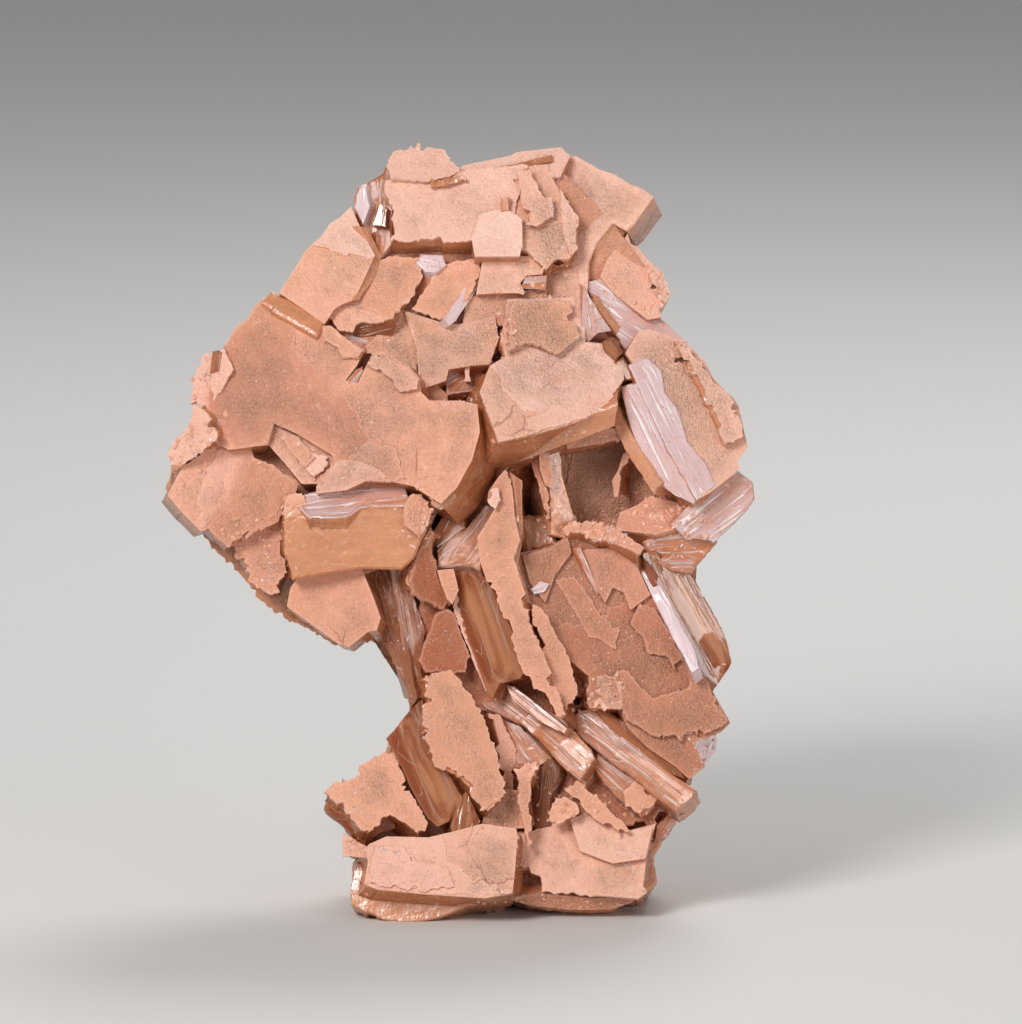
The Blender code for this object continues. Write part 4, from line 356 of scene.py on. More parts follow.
upperDetails = [
    ("topLumpLedge", "brown", 3.2, (0, 14), 1.4, 1, [(-2.4, 59.2), (0.2, 59.7), (0.5, 59), (-2.3, 58.5)]),
    ("topAmber", "clear", 3.3, (-14, 8), 2.5, 1, [(-7, 55.5), (-6.4, 57.3), (-5.8, 56.9), (-5.9, 55.4)]),
    ("topLilacRidge", "whiteSheen", 2.5, (-30, 8), 2.5, 1,
     [(-8.5, 57), (-8.1, 58.5), (-7.5, 58.8), (-7.3, 57), (-7.8, 55.6)]),
    ("topRightRim", "cream", 3.3, (6, 18), 1.4, 1,
     [(8, 58.5), (8.9, 57), (9.5, 56.1), (9.4, 53.6), (8.8, 53.1), (8.2, 55), (8, 57)]),
    ("topStepLeft", "sandyPink", 3.7, (6, 18), 1.2, 1,
     [(4.6, 60), (5.6, 60.1), (6.3, 58.3), (7.4, 57.7), (7.5, 56.2), (6.2, 55.4), (5.2, 55.6)]),
    ("topBrownSide", "honey", 1.4, (32, -20), 3, 1,
     [(12.1, 55.8), (13.4, 55.1), (11.8, 52.7), (10.4, 51.5), (10.9, 54.1)]),
    ("topLilacPatch", "lilacSheen", 3.9, (4, -10), 1.6, 1, [(4.8, 50.4), (5.2, 51.4), (7, 51.5), (6.9, 50.3)]),
    ("topNotchAmber", "honey", 4.2, (10, 0), 1.6, 1, [(3.3, 56.6), (3.4, 57.7), (4, 57.8), (4, 56.6)]),
    ("topGroove", "brown", 1.9, (0, 30), 1.5, 1,
     [(3.2, 60.3), (5.2, 60.7), (7.3, 61.3), (7.4, 60.8), (5.4, 60.2), (3.4, 59.8)]),
    ("shoulderStrip", "honey", 2.8, (30, 10), 2.2, 1,
     [(10.5, 49.4), (10.9, 50), (13, 47.4), (12.5, 46.8)]),
    ("shoulderRim", "cream", 2.3, (16, 16), 1.5, 1,
     [(15.1, 52.5), (16.2, 51.7), (16.8, 50), (16.4, 49.3), (15.6, 50.2), (15.2, 51.4)]),
    ("fanFirstSide", "honey", 3.4, (38, 8), 3, 1,
     [(-8.1, 55.5), (-7.3, 55.3), (-6.2, 53), (-6.9, 51.2), (-8, 49.6), (-8.7, 49.4), (-7.5, 51.5),
     (-6.8, 53.1)]),
    ("fanFirstLayer", "rose", 4.5, (3, 18), 1, 1,
     [(-14.2, 50.2), (-12.6, 52.8), (-11.6, 52), (-12.2, 50.6), (-11.2, 49.6), (-11.6, 48.6),
     (-12.8, 49.2)]),
    ("fanSecondSide", "smoky", 3.9, (0, -32), 3, 1,
     [(-9.9, 47.2), (-8.6, 46.4), (-6.9, 45.9), (-5.5, 46.4), (-4.6, 48.3), (-5.3, 48.1), (-6.5, 47.8),
     (-8, 47.8)]),
    ("fanSecondLip", "whiteSheen", 3.7, (0, -20), 1.6, 1,
     [(-9.7, 47), (-8.5, 46.2), (-6.8, 45.7), (-5.5, 46.1), (-5.6, 46.4), (-6.8, 46.1), (-8.4, 46.6),
     (-9.5, 47.3)]),
    ("fanBacking", "sandy", 2, (-2, 16), 4, 1,
     [(-11.2, 48.6), (-8.2, 53.6), (-5.8, 53.6), (3.6, 53.4), (3.9, 48.4), (0, 46.4), (-7.4, 45.2),
     (-10.6, 46.9)]),
    ("mainHoneyEdge", "honey", 5.4, (14, 34), 3, 1,
     [(-15.7, 49.4), (-15, 50.3), (-13.6, 49.6), (-10.8, 48.1), (-10.8, 47.4), (-11.3, 46.7),
     (-14.9, 48.7)]),
    ("mainTopLayer", "tan", 6.2, (-4, 9), 1.1, 1,
     [(-11, 47.2), (-10.4, 47.5), (-7.6, 45.5), (-8, 44.8), (-9.4, 44.9), (-9.8, 45.8), (-10.8, 46.3)]),
    ("mainRightLayer", "sandy", 7, (-4, 9), 1, 1,
     [(-7.4, 44.4), (-6.6, 45.4), (-4, 44.1), (-3.2, 43.2), (-3.3, 42.4), (-4.8, 42.2), (-5.4, 43.2)]),
    ("mainRecess", "sandy", 6.2, (-4, 9), 3, 1,
     [(-15.6, 38.4), (-14.9, 39.9), (-12.9, 39.1), (-10, 37.4), (-9.7, 36.8), (-11, 34.9), (-12.6, 34.9),
     (-14, 36.6)]),
    ("mainRecessBrick", "sandy", 6.7, (-4, 9), 1.2, 1,
     [(-14.3, 39.2), (-12.9, 38.6), (-11.5, 37), (-12.3, 36.2), (-13.6, 37.6)]),
    ("mainRecessLow", "sandyPink", 6.8, (-4, 9), 1.2, 1,
     [(-12.4, 37.6), (-10.4, 37), (-10.5, 36.2), (-11.6, 35.4), (-12.3, 36.1), (-12.9, 36.8)]),
    ("mainLowLayer", "sandy", 7.6, (-4, 9), 1, 1,
     [(-9.6, 36.4), (-7.4, 38.4), (-5.2, 37.8), (-4.2, 35.2), (-5.6, 35), (-7.5, 35.1), (-9.2, 34.8)]),
    ("amberChip", "clear", 5.9, (-14, 0), 2, 1,
     [(-20, 43.6), (-19.7, 45.5), (-18.9, 45.4), (-19.1, 43.7)]),
    ("honeyBlockTop", "silverySheen", 7.1, (0, 42), 3, 1,
     [(-12.7, 33), (-12.4, 34.2), (-11, 34.5), (-9.2, 34.6), (-7.4, 35.1), (-5.6, 35), (-4.3, 34.6),
     (-4, 33.7), (-4.2, 33.2), (-7.8, 33.1), (-9, 32.3), (-11.9, 32.2)]),
    ("honeyBlockLip", "honey", 7.25, (0, -10), 0.9, 1,
     [(-13.2, 32.4), (-12.9, 33.1), (-11.9, 32.4), (-9.1, 32.4), (-8.1, 33.2), (-4.2, 33.5), (-3.9, 33),
     (-7.4, 32.4), (-8.8, 31.8), (-12.2, 31.7)]),
]

middleDetails = [
    ("centreCreamRod", "cream", 4, (0, 6), 1.6, 1, [(0.3, 43), (0.9, 43), (1, 44.4), (0.4, 44.3)]),
    ("centreTopLayer", "sandy", 5, (11, 20), 1.1, 1,
     [(3.8, 45.4), (3.6, 47), (4.2, 49.4), (8.8, 49.4), (9.6, 46.6), (7.8, 45.2), (5.6, 46)]),
    ("centreLeftLayer", "cream", 5.9, (11, 20), 1, 1,
     [(1.7, 42.2), (2.5, 44.2), (3.6, 44.6), (4.4, 43.4), (3.8, 41.8), (3.9, 40), (2.6, 40)]),
    ("centreLowLayer", "cream", 6.6, (11, 20), 1, 1,
     [(5.2, 38.7), (5, 40.4), (7.4, 41.2), (9, 40.9), (11.6, 41.8), (12.2, 41.1), (9.8, 40.1),
     (7.4, 39.4)]),
    ("centreUnderside", "honey", 5, (6, -34), 3.5, 1,
     [(2.4, 38.6), (4.6, 38.5), (6.4, 39.2), (9.6, 40.2), (12.6, 41.2), (12.4, 39.4), (8.6, 38),
     (4.4, 36.4), (2.6, 36.4)]),
    ("kiteRim", "peach", 5.3, (-24, 0), 1.8, 1,
     [(-4.3, 27), (-4.1, 28), (-3.1, 30.1), (-2.4, 31.3), (-2.1, 31), (-2.8, 29.6), (-3.5, 27.6),
     (-3.6, 26.3)]),
    ("amberRim", "cream", 3.6, (-10, 0), 1.6, 1,
     [(-0.9, 26.1), (-0.2, 23.9), (0.8, 21.5), (2, 18.3), (2.5, 18.3), (1.4, 21.6), (0.4, 24.1),
     (-0.3, 26.4)]),
    ("bladeBrownSide", "rust", 4.9, (34, 0), 3, 1,
     [(4.1, 35.8), (5, 35.2), (5.1, 30.8), (4.7, 28.6), (5.8, 25.2), (5.2, 25.4), (4.2, 29), (4.7, 30.6)]),
    ("bladeBulge", "cream", 5.9, (-11, 2), 1.2, 1,
     [(2.2, 33.4), (2.4, 34.4), (3, 34.6), (3.3, 33.6), (2.8, 32.8)]),
    ("rightHoneyStrip", "honey", 3.5, (-28, 0), 3, 1,
     [(11.6, 41), (12.4, 41.6), (14, 38.4), (16, 35), (15.4, 34), (13.2, 37.4)]),
    ("rightPlateLayer", "sandyPink", 4, (13, 11), 1, 1,
     [(17.2, 46.4), (18, 46.1), (19.4, 44.6), (20.2, 43.1), (21.6, 41.8), (22.2, 40.8), (22.6, 38.6),
     (21.2, 38), (20, 40.6), (18.4, 43.6)]),
    ("slopeFacet", "lilacSheen", 3, (18, 0), 1.2, 1, [(9.1, 29.7), (9.7, 30), (11.4, 26.1), (11, 26)]),
    ("slopeChip", "whiteSheen", 3.9, (0, 10), 1, 1,
     [(5.6, 26.5), (6.4, 27.1), (7.1, 26.9), (6.7, 26.3), (5.9, 26.1)]),
    ("slopeLedgeUpper", "mauve", 3.25, (10, 8), 1, 1,
     [(5, 29.2), (7, 29.7), (8.6, 30.6), (8.9, 29.4), (7.6, 27.6), (6.8, 25.4), (5.6, 27)]),
    ("rightSheen", "silverySheen", 4.52, (13, 11), 1, 1,
     [(13.5, 44.4), (15, 45), (16.2, 43.9), (16.4, 42.2), (17.6, 40.6), (18.2, 38.3), (19.7, 36.6),
     (20.5, 34.8), (18.9, 33.6), (16.8, 37.2), (15.2, 40.6)]),
    ("slopeLedgeRight", "mauve", 2.43, (10, 8), 1, 1,
     [(9.5, 29.6), (12.6, 29.8), (14, 28.6), (15.2, 26), (13.6, 24.8), (13.1, 26.2), (12.2, 26.6),
     (11.6, 25.4), (10.2, 27.8)]),
    ("slopeLedgeMiddle", "mauve", 2.98, (10, 8), 1, 1,
     [(7.6, 27.2), (9.2, 27.6), (10.4, 25.8), (11.2, 24.4), (12.8, 23.4), (12.4, 21.6), (11.3, 22.4),
     (10.2, 22.6), (9.2, 24.6)]),
    ("slopeLedgeEdge", "mauve", 2.54, (10, 8), 1, 1,
     [(14.4, 25.4), (15.6, 25), (18.2, 20.8), (17.2, 20), (16.4, 21.2), (15, 21.4), (14.7, 22.6),
     (13.6, 23.6)]),
    ("slopeLedgeLow", "mauve", 3.3, (10, 8), 1, 1,
     [(11.6, 19.6), (13.2, 20), (15.4, 17.8), (17.8, 18.6), (18.6, 19.6), (19.6, 19.4), (21.4, 15.9),
     (19, 14.6), (16.2, 14.4), (13.2, 16)]),
]

lowerDetails = [
    ("barEndUpper", "peach", 3.8, (-4, 14), 1.4, 1,
     [(8.3, 13.9), (9.4, 14.6), (10.5, 13.7), (10.8, 12.9), (9.6, 11.2), (8.4, 12.2)]),
    ("barEndMiddle", "tan", 4.3, (-2, 12), 1.4, 1,
     [(15.2, 11.3), (16.4, 12), (18.8, 10.5), (18.3, 9.7), (17.2, 8.8), (15.6, 9.9)]),
    ("barEndLower", "peach", 3.8, (-2, 8), 1.4, 1,
     [(13, 10.4), (14, 11.2), (15.7, 9.9), (15.3, 9.1), (14.4, 8.3), (13.2, 9.1)]),
    ("barSlab", "glassy", 4.2, (-12, 8), 1.6, 1,
     [(3.6, 18.9), (4.3, 18.8), (8.6, 15.4), (8.3, 14.9), (6.2, 16), (4.2, 17.6)]),
    ("barBacking", "rust", 1.4, (0, 10), 4, 1,
     [(0.6, 19), (4, 20.4), (9, 18.4), (10.6, 16.8), (17.6, 10.8), (15.6, 7.6), (4, 7.4), (1.4, 11)]),
    ("bladeBacking", "rust", 2, (6, 0), 4, 1,
     [(-2, 31.4), (1.4, 33.8), (4.8, 29.6), (9.8, 21), (10.6, 17.2), (7.4, 15.6), (-3, 17.2),
     (-3.4, 24.4)]),
    ("baseLeftLayer", "rose", 6.5, (0, 15), 1, 1,
     [(-7.2, 3.1), (-7, 4.9), (-6.8, 6), (-4.4, 6), (-3.8, 4.8), (-1, 4.4), (-0.4, 2.8), (-2.6, 2.4),
     (-6.4, 2.8)]),
    ("baseRightStrip", "mauve", 3, (0, -30), 1.4, 1,
     [(3.3, 1.9), (5.4, 1.3), (8.5, 0.9), (12, 0.9), (13.8, 1.5), (14, 2), (10.8, 1.8), (6.4, 2.2)]),
    ("baseRightLayer", "rose", 3.6, (-2, 14), 1, 1,
     [(8.8, 8.1), (10.5, 8.8), (13.4, 7.2), (15.4, 7.5), (14.8, 5), (12.2, 4.6), (9.6, 5.6)]),
    ("baseGlass", "glassy", 1.8, (20, 10), 2.5, 1,
     [(15.5, 6.3), (15.7, 7.6), (16.9, 8.8), (17.5, 8.4), (16.6, 6.6)]),
]

# The heavy inside that the plates grow from: out at its front, depth, outline
coreLumps = [
    ("coreLeft", 3.6, 11, [(-20, 36), (-19, 44), (-14, 48.5), (-6, 47), (-1, 42), (-0.6, 34.5), (-4, 29),
                          (-12, 26), (-18, 31)]),
    ("coreTop", 1.6, 9, [(-7, 45), (-6, 58), (0, 59.5), (8, 60), (12, 56), (15, 52), (14, 41), (2, 40)]),
    ("coreMiddle", -4.2, 6, [(-2, 29), (-2, 43), (12, 43), (12, 14), (2, 14)]),
    ("coreRight", -0.6, 8, [(10.8, 16), (9.5, 26), (9.5, 30.5), (15.8, 31.2), (15.6, 37), (13.5, 41), (9, 42),
                            (9, 46), (16, 47), (21, 41), (20, 36), (19, 29), (18.5, 22), (19, 16), (13, 11)]),
    ("coreLow", 1.4, 10, [(-6, 2), (-7, 9), (-4, 16), (-4, 26), (2, 31), (7.5, 30), (8.5, 18), (13, 10),
                          (14, 2)]),
]

innerBody = {
    "widths": [(0, -7.5, 14), (8, -7, 15), (17, -3.5, 18), (24, -8, 18.5), (30, -16, 17.5), (36, -20, 20),
               (43, -18.5, 19.5), (49, -13, 14), (54, -8, 11.5), (57.5, -4.5, 9)],   # height, left, right
    "front": -3.0,
    "back": -14.0,
    "corner": 4.5,
    "coreTaper": 0.94,
}

# Plates that cover the sides and the back
hiddenSide = {
    "seed": 12,
    "row": 5.0,                 # distance between rows of plates
    "step": 7.5,                # distance between plates in a row
    "size": (6.0, 12.5),
    "thick": (3.5, 5.5),
    "stand": (-0.8, 2.6),       # how far a plate stands out of the inner body
    "tilt": 26,
    "taper": 0.9,
    "front": -1.5,              # no hidden plate comes further forward
    "height": (0.6, 1.0),       # as a share of the width
    "up": 1.8,
    "spread": (0.2, 0.8),
    "turn": 45,
    "squareness": 0.6,
    "leanStart": 52,
    "leanRate": 5,
    "shrink": (1.0, 0.85, 0.7, 0.58, 0.46),
    "drawnIn": 0.5,
    "middleTop": 54,
    "corners": ((1, -1), (1, 0.35), (0.4, 1), (-1, 1), (-1, -0.2), (-0.55, -1)),
    "finishes": ("peach", "pink", "sandyPink", "sandy", "peach", "sandyPink", "honey", "mauve", "peach",
                 "sandy", "glassy", "pink"),
}

# The outline that the cluster has from the display side, a little inside its real edge
silhouette = [
    (-8.4, 57.5), (-7.8, 58.6), (-6.0, 59.6), (-5.2, 61.0), (-3.5, 61.8), (-1.4, 61.3), (0.2, 60.0),
    (4.2, 60.9), (8.0, 61.4), (11.8, 59.5), (15.2, 57.8), (13.2, 54.8), (15.8, 51.5), (16.4, 50.0),
    (15.6, 49.0), (15.9, 48.0), (19.3, 44.5), (20.2, 43.0), (21.8, 41.4), (22.6, 37.8), (21.8, 35.8),
    (23.2, 34.6), (23.0, 33.2), (20.0, 29.8), (18.4, 27.6), (19.6, 25.2), (21.4, 20.4), (20.2, 18.6),
    (21.2, 16.0), (18.6, 14.4), (18.6, 10.6), (17.1, 8.2), (15.3, 5.4), (15.4, 3.2), (12.6, 1.2),
    (8.5, 0.9), (3.5, 2.2), (-1.5, 0.8), (-4.0, 0.3), (-7.5, 1.0), (-8.5, 2.0), (-9.0, 6.9),
    (-10.4, 8.8), (-10.4, 10.2), (-6.1, 13.1), (-5.7, 14.5), (-4.0, 16.7), (-4.1, 18.4), (-6.5, 22.2),
    (-9.6, 22.0), (-14.4, 24.9), (-18.6, 29.2), (-23.2, 34.6), (-22.9, 37.4), (-20.9, 40.6),
    (-20.6, 44.2), (-18.9, 45.5), (-16.4, 48.5), (-14.2, 50.0), (-12.2, 53.2), (-9.6, 55.8)]

# A few large plates that lead the back: across, up, out, width, height, thickness, facing, lean, turn
largePlates = [
    (3, 40, -16.5, 17, 14, 6, 178, 10, 14),
    (-9, 40, -15.0, 13, 16, 6, 198, 4, -22),
    (11, 30, -16.0, 12, 17, 6, 162, -4, 30),
    (-2, 28, -16.0, 13, 11, 6, 188, -8, -12),
    (4, 51, -14.5, 15, 9, 5, 176, 24, 6),
    (3, 17, -16.5, 15, 10, 6, 184, 6, 10),
    (5, 6, -15.5, 16, 9, 6, 178, -4, -4),
    (-1, 58, -7.5, 8, 7, 4, 196, 56, 16),
    (6, 57.8, -7.0, 9, 7, 4, 166, 52, -12),
    (2, 56.5, -11.5, 8, 7, 4, 184, 48, 28),
    (-13, 47.5, -7.5, 7, 6, 4, 220, 46, 22),
    (15, 46, -8.0, 7, 6, 4, 140, 44, 26),
]

# Small loose pieces by shape: across, up, spread each way, count and size in mm
patches = {
    # sparkle patches: small bright crystals put where glints show, partly druse, partly painted glints
    "sparkle": [(-4.6, 57.4, 0.35, 1, 14, 0.26), (8, 53.6, 0.5, 0.4, 16, 0.3),
        (0.4, 46.9, 0.4, 0.5, 20, 0.3), (-0.6, 41.2, 1, 0.35, 30, 0.32),
        (-14.7, 28.2, 0.6, 1.1, 34, 0.3), (-2.6, 16.5, 0.45, 1.1, 30, 0.3),
        (13.8, 4, 0.6, 1.4, 34, 0.32), (-6.3, 5.7, 0.25, 0.15, 9, 0.26), (-5, 5.4, 0.25, 0.15, 9, 0.26),
        (-2.3, 3.7, 0.25, 0.25, 9, 0.26), (1.5, 2.7, 0.25, 0.15, 7, 0.26),
        (12.1, 30.7, 0.7, 0.5, 24, 0.36), (-2.4, 52.3, 0.9, 0.4, 24, 0.36),
        (6.4, 37.4, 0.9, 0.3, 16, 0.3), (11.5, 47.7, 0.4, 0.4, 10, 0.3), (0.4, 26.4, 0.4, 0.6, 12, 0.26),
        (20.2, 32.1, 1.2, 0.8, 24, 0.36), (18, 29.2, 1.8, 1.2, 50, 0.42), (16, 50.4, 0.6, 1.2, 30, 0.36),
        (-21.5, 37.5, 1.4, 1.2, 40, 0.36), (-20.2, 44.3, 0.6, 1.1, 26, 0.32),
        (-9, 8.9, 1, 0.9, 26, 0.36), (19, 13.9, 0.6, 1, 18, 0.4), (-4, 17.2, 0.3, 0.5, 8, 0.3),
        (-15.5, 48.6, 0.7, 0.6, 16, 0.3), (7.6, 58.6, 0.7, 1.4, 18, 0.28),
        (16.6, 7.4, 0.5, 0.9, 18, 0.36), (-5.6, 21.6, 0.7, 1.6, 18, 0.3)],
    "crumb": [(11.5, 18.3, 1, 0.9, 60, 0.65), (11.3, 31.1, 2.2, 0.5, 70, 0.65),
        (15.6, 50.2, 0.8, 1.3, 40, 0.65), (-21.4, 38, 1.3, 1.3, 50, 0.72),
        (-3.2, 32.4, 0.8, 1, 40, 0.72), (5.2, 11.8, 0.7, 0.7, 26, 0.59), (8.4, 8.9, 0.9, 0.8, 26, 0.59),
        (16.4, 32.4, 1.6, 0.9, 44, 0.72), (-13, 33, 0.7, 0.8, 24, 0.59), (9.7, 17.7, 0.7, 0.5, 20, 0.59),
        (-1.2, 41.4, 1.2, 0.4, 26, 0.59), (3.2, 47.4, 0.8, 0.6, 28, 0.59),
        (-13.2, 37.6, 1.2, 1, 28, 0.52), (13, 9, 2.4, 0.8, 34, 0.59), (-6, 3, 2.2, 0.4, 26, 0.52),
        (4.4, 4, 0.4, 2, 20, 0.52), (-8.6, 5.8, 0.5, 0.7, 18, 0.59), (8.4, 56.8, 0.6, 2.6, 30, 0.52),
        (7, 52.2, 1.4, 0.6, 26, 0.52), (10.4, 48, 0.5, 1.8, 24, 0.52), (9, 32, 1.6, 0.5, 26, 0.65),
        (-9, 35.6, 3, 0.8, 30, 0.52), (-20.8, 43, 0.8, 1.6, 30, 0.65), (-16, 30.6, 1.6, 0.8, 26, 0.52),
        (7.4, 38.4, 3.2, 0.5, 30, 0.52), (21.6, 40, 0.8, 2.4, 24, 0.52), (1.6, 8.6, 1.6, 0.8, 26, 0.59),
        (9, 1.6, 4, 0.4, 34, 0.52), (13, 23, 3, 4, 70, 0.3), (-9, 41, 5, 3, 40, 0.3),
        (7, 44, 3, 2.5, 40, 0.32), (6, 55, 4, 3, 50, 0.32), (18, 40, 2, 3, 36, 0.3),
        (3, 4, 6, 2, 40, 0.3), (17.6, 44.8, 0.7, 0.7, 30, 0.45), (3, 46, 1, 1.2, 40, 0.52),
        (5.6, 50.4, 1.4, 0.5, 26, 0.52), (12.4, 50.2, 0.8, 1, 26, 0.45)],
}

# Small holes, their walls painted dark as shade: across, up, radius and depth in mm
pits = [
    (7.9, 52.5, 0.28, 0.9), (3.3, 47.35, 0.2, 0.9), (3.0, 45.0, 0.5, 1.6), (15.4, 50.6, 0.22, 0.5),
    (17.6, 44.8, 0.4, 0.5), (9.7, 17.6, 0.45, 1.6),
]

lookFrom = 40       # how far out of the display plane small pieces are aimed at it

sand = {
    "count": 9000,              # grains on the sandy crust, on every side
    "size": (0.10, 0.22),
    "sunk": 0.02,               # how deep the middle of a piece sits, as a share of its size
    "rim": 5,                   # how much thicker the grains lie along the broken rims
    "glints": 1400,             # small bare crystals among the grains
    "crumb": (1.0, 0.75, 0.4),  # proportions of a crumb of crust and of a druse crystal
    "sparkle": (1.3, 0.55, 0.5),
    "choices": 4,               # shapes of each kind of chip
    "deepest": 10,              # no patch lies further behind the display plane
}

# Each finish, in mm: crust thickness (0 for none), slots of the face and the sides, how sandy, tone (from
# dark orange to light pink), how ragged the rim is, relief of the face, bevel, and lengthwise ridges
slots = {"crust": 0, "honey": 1, "cleavage": 2, "clear": 3}
materialNames = {"crust": "stolzite_salmon_crust", "honey": "stolzite_honey_crystal",
                 "cleavage": "stolzite_lilac_cleavage", "clear": "stolzite_clear_amber"}
finishFields = ("crust", "face", "side", "sand", "tone", "ragged", "relief", "bevel", "ridges")
finishRows = {
    "pink": (0.40, "crust", "honey", 0.10, 0.75, 0.24, 0.08, 0.04, 0),
    "rose": (0.40, "crust", "honey", 0.20, 0.3, 0.24, 0.09, 0.04, 0),
    "peach": (0.42, "crust", "honey", 0.35, 0.0, 0.26, 0.09, 0.04, 0),
    "tan": (0.42, "crust", "honey", 0.45, -0.3, 0.26, 0.09, 0.04, 0),
    "cream": (0.45, "crust", "honey", 0.45, 0.55, 0.28, 0.08, 0.04, 0),
    "sandyPink": (0.40, "crust", "honey", 0.60, 0.45, 0.30, 0.14, 0.05, 0),
    "sandy": (0.40, "crust", "honey", 0.95, 0.1, 0.30, 0.14, 0.05, 0),
    "mauve": (0.35, "crust", "honey", 0.65, -0.55, 0.26, 0.12, 0.05, 0),
    "rust": (0.30, "crust", "honey", 0.20, -1.0, 0.12, 0.12, 0.14, 0),
    "brown": (0.30, "honey", "honey", 0.30, -0.6, 0.30, 0.30, 0.25, 0),
    "honey": (0, "honey", "honey", 0.2, 0.4, 0.06, 0.08, 0.22, 0),
    # on bare crystals the tone also sets how much painted lilac-white sheen shows; the lilac, silvery and
    # white finishes carry the most of it
    "glassy": (0, "cleavage", "cleavage", 0.1, -0.4, 0.06, 0.03, 0.30, 0.42),
    "smoky": (0, "cleavage", "cleavage", 0.1, -1.0, 0.06, 0.03, 0.30, 0.40),
    "lilacSheen": (0, "cleavage", "honey", 0.1, 0.1, 0.07, 0.03, 0.25, 0.26),
    "silverySheen": (0, "cleavage", "honey", 0.1, 0.6, 0.07, 0.03, 0.25, 0.22),
    "whiteSheen": (0, "cleavage", "cleavage", 0.0, 1.0, 0.05, 0.03, 0.12, 0.14),
    "clear": (0, "clear", "clear", 0, 0, 0.04, 0.03, 0.35, 0.45),
}
finishes = {finish: dict(zip(finishFields, row)) for finish, row in finishRows.items()}
for finish in ("pink", "rose", "peach", "tan", "cream", "sandyPink", "sandy", "mauve"):
    # the same crust in thin sheets
    finishes[finish + "Sheet"] = dict(finishes[finish], side="crust", crust=0.3, ragged=0.16, bevel=0.04)

crustSheets = {
    "most": 2,
    "leastArea": 16,            # a face gets a sheet for each so many square mm
    "share": 0.6,
    "thick": 0.7,
    "lift": 0.07,               # how far a sheet stands proud of the face
    "drawnIn": (-0.02, 0.12),
    "step": (0.3, 1.6),         # along the broken edge
    "notch": (-0.4, 1.6),       # how far the broken edge wanders
}

meshing = {
    "rimStep": 0.22,            # distance between points along a display crystal's rim
    "hiddenStep": 0.6,
    "faceStep": 1.25,           # distance between points on a face, as a share of the rim step
    "layer": 0.62,              # distance between rings down a crystal's side
    "sharp": math.radians(28),
    "largeFrom": 3.4,           # a crystal thicker than this spreads at its root and carries sheets of crust
    "flare": 0.16,              # how much wider a display crystal is at its root
    "facet": (0.7, 1.9),        # width of the lengthwise facets of a bare crystal
    "toneSpread": 0.22,         # how far one crystal's tone strays from its finish
    "sideTone": 0.3,            # how much of the tone the sides show
    "triangleRows": 0.866,      # rows of even triangles, as a share of their sides
    "broadRelief": (0.6, 0.22),     # share of a finish's relief, and waves to a mm
    "fineRelief": (0.3, 0.95),
    "grainWaves": 2.6,
    "lip": (0.04, 0.1, 0.9),    # height of the crust's raised edge, and where its slope starts and ends
    "highest": 0.12,            # no relief stands higher than this
    "rootStart": (0.8, 4.5),    # depth at which a root starts to widen, and at which it is full
}


def centroid(outline):
    area = across = up = 0.0
    for (x0, z0), (x1, z1) in zip(outline, outline[1:] + outline[:1]):
        cross = x0 * z1 - x1 * z0
        area += cross
        across += (x0 + x1) * cross
        up += (z0 + z1) * cross
    return across / (3 * area), up / (3 * area), area / 2


def standUp(point):     # turns a point of the display plane so that the cluster leans back on the ground
    across, up, out = point
    sin, cos = math.sin(stance["leanBack"]), math.cos(stance["leanBack"])
    place = Vector((across, up * sin - out * cos, up * cos + out * sin - stance["ground"]))
    return (place - stance["middle"]) * mm


def displayPlate(out, lean, outline):       # its middle, its own axes, and its corners in them
    middleX, middleZ, area = centroid(outline)
    corners = outline if area > 0 else outline[::-1]
    slopeX, slopeZ = math.tan(math.radians(lean[0])), math.tan(math.radians(lean[1]))
    normal = Vector((slopeX, slopeZ, 1)).normalized()
    right = Vector((1, 0, -slopeX)).normalized()
    up = normal.cross(right)
    middle = Vector((middleX, middleZ, out))
    flat = []
    for x, z in corners:
        reach = Vector((x - middleX, z - middleZ, -(x - middleX) * slopeX - (z - middleZ) * slopeZ))
        flat.append((reach.dot(right), reach.dot(up)))
    return (middle, right, up, normal), flat


def cutPlate(across, up, out, width, height, thick, facing, lean, turn):
    facing, lean, turn = math.radians(facing), math.radians(lean), math.radians(turn)
    normal = Vector((math.sin(facing) * math.cos(lean), math.sin(lean), math.cos(facing) * math.cos(lean)))
    side = Vector((0, 1, 0)).cross(normal).normalized()
    rise = normal.cross(side)
    flat = []
    for shareX, shareZ in hiddenSide["corners"]:
        a, b = shareX * width / 2, shareZ * height / 2
        flat.append((a * math.cos(turn) - b * math.sin(turn), a * math.sin(turn) + b * math.cos(turn)))
    return (Vector((across, up, out)), side, rise, normal), flat, thick


def bodyReach(height):      # left and right edge of the inner body
    rows = innerBody["widths"]
    for (low, left0, right0), (high, left1, right1) in zip(rows, rows[1:]):
        if height <= high:
            share = max(0.0, (height - low) / (high - low))
            return left0 + (left1 - left0) * share, right0 + (right1 - right0) * share
    return rows[-1][1:]


def innerBodyRings():       # six-sided rings, one for each height
    front, back, corner = innerBody["front"], innerBody["back"], innerBody["corner"]
    rings = []
    for height, left, right in innerBody["widths"]:
        places = ((left, front), (right, front), (right, back + corner), (right - corner, back),
                  (left + corner, back), (left, back + corner))
        rings.append([Vector((x, height, out)) for x, out in places])
    return rings


def inside(outline, x, z):
    within = False
    for (x0, z0), (x1, z1) in zip(outline, outline[1:] + outline[:1]):
        if (z0 > z) != (z1 > z) and x < x0 + (z - z0) / (z1 - z0) * (x1 - x0):
            within = not within
    return within


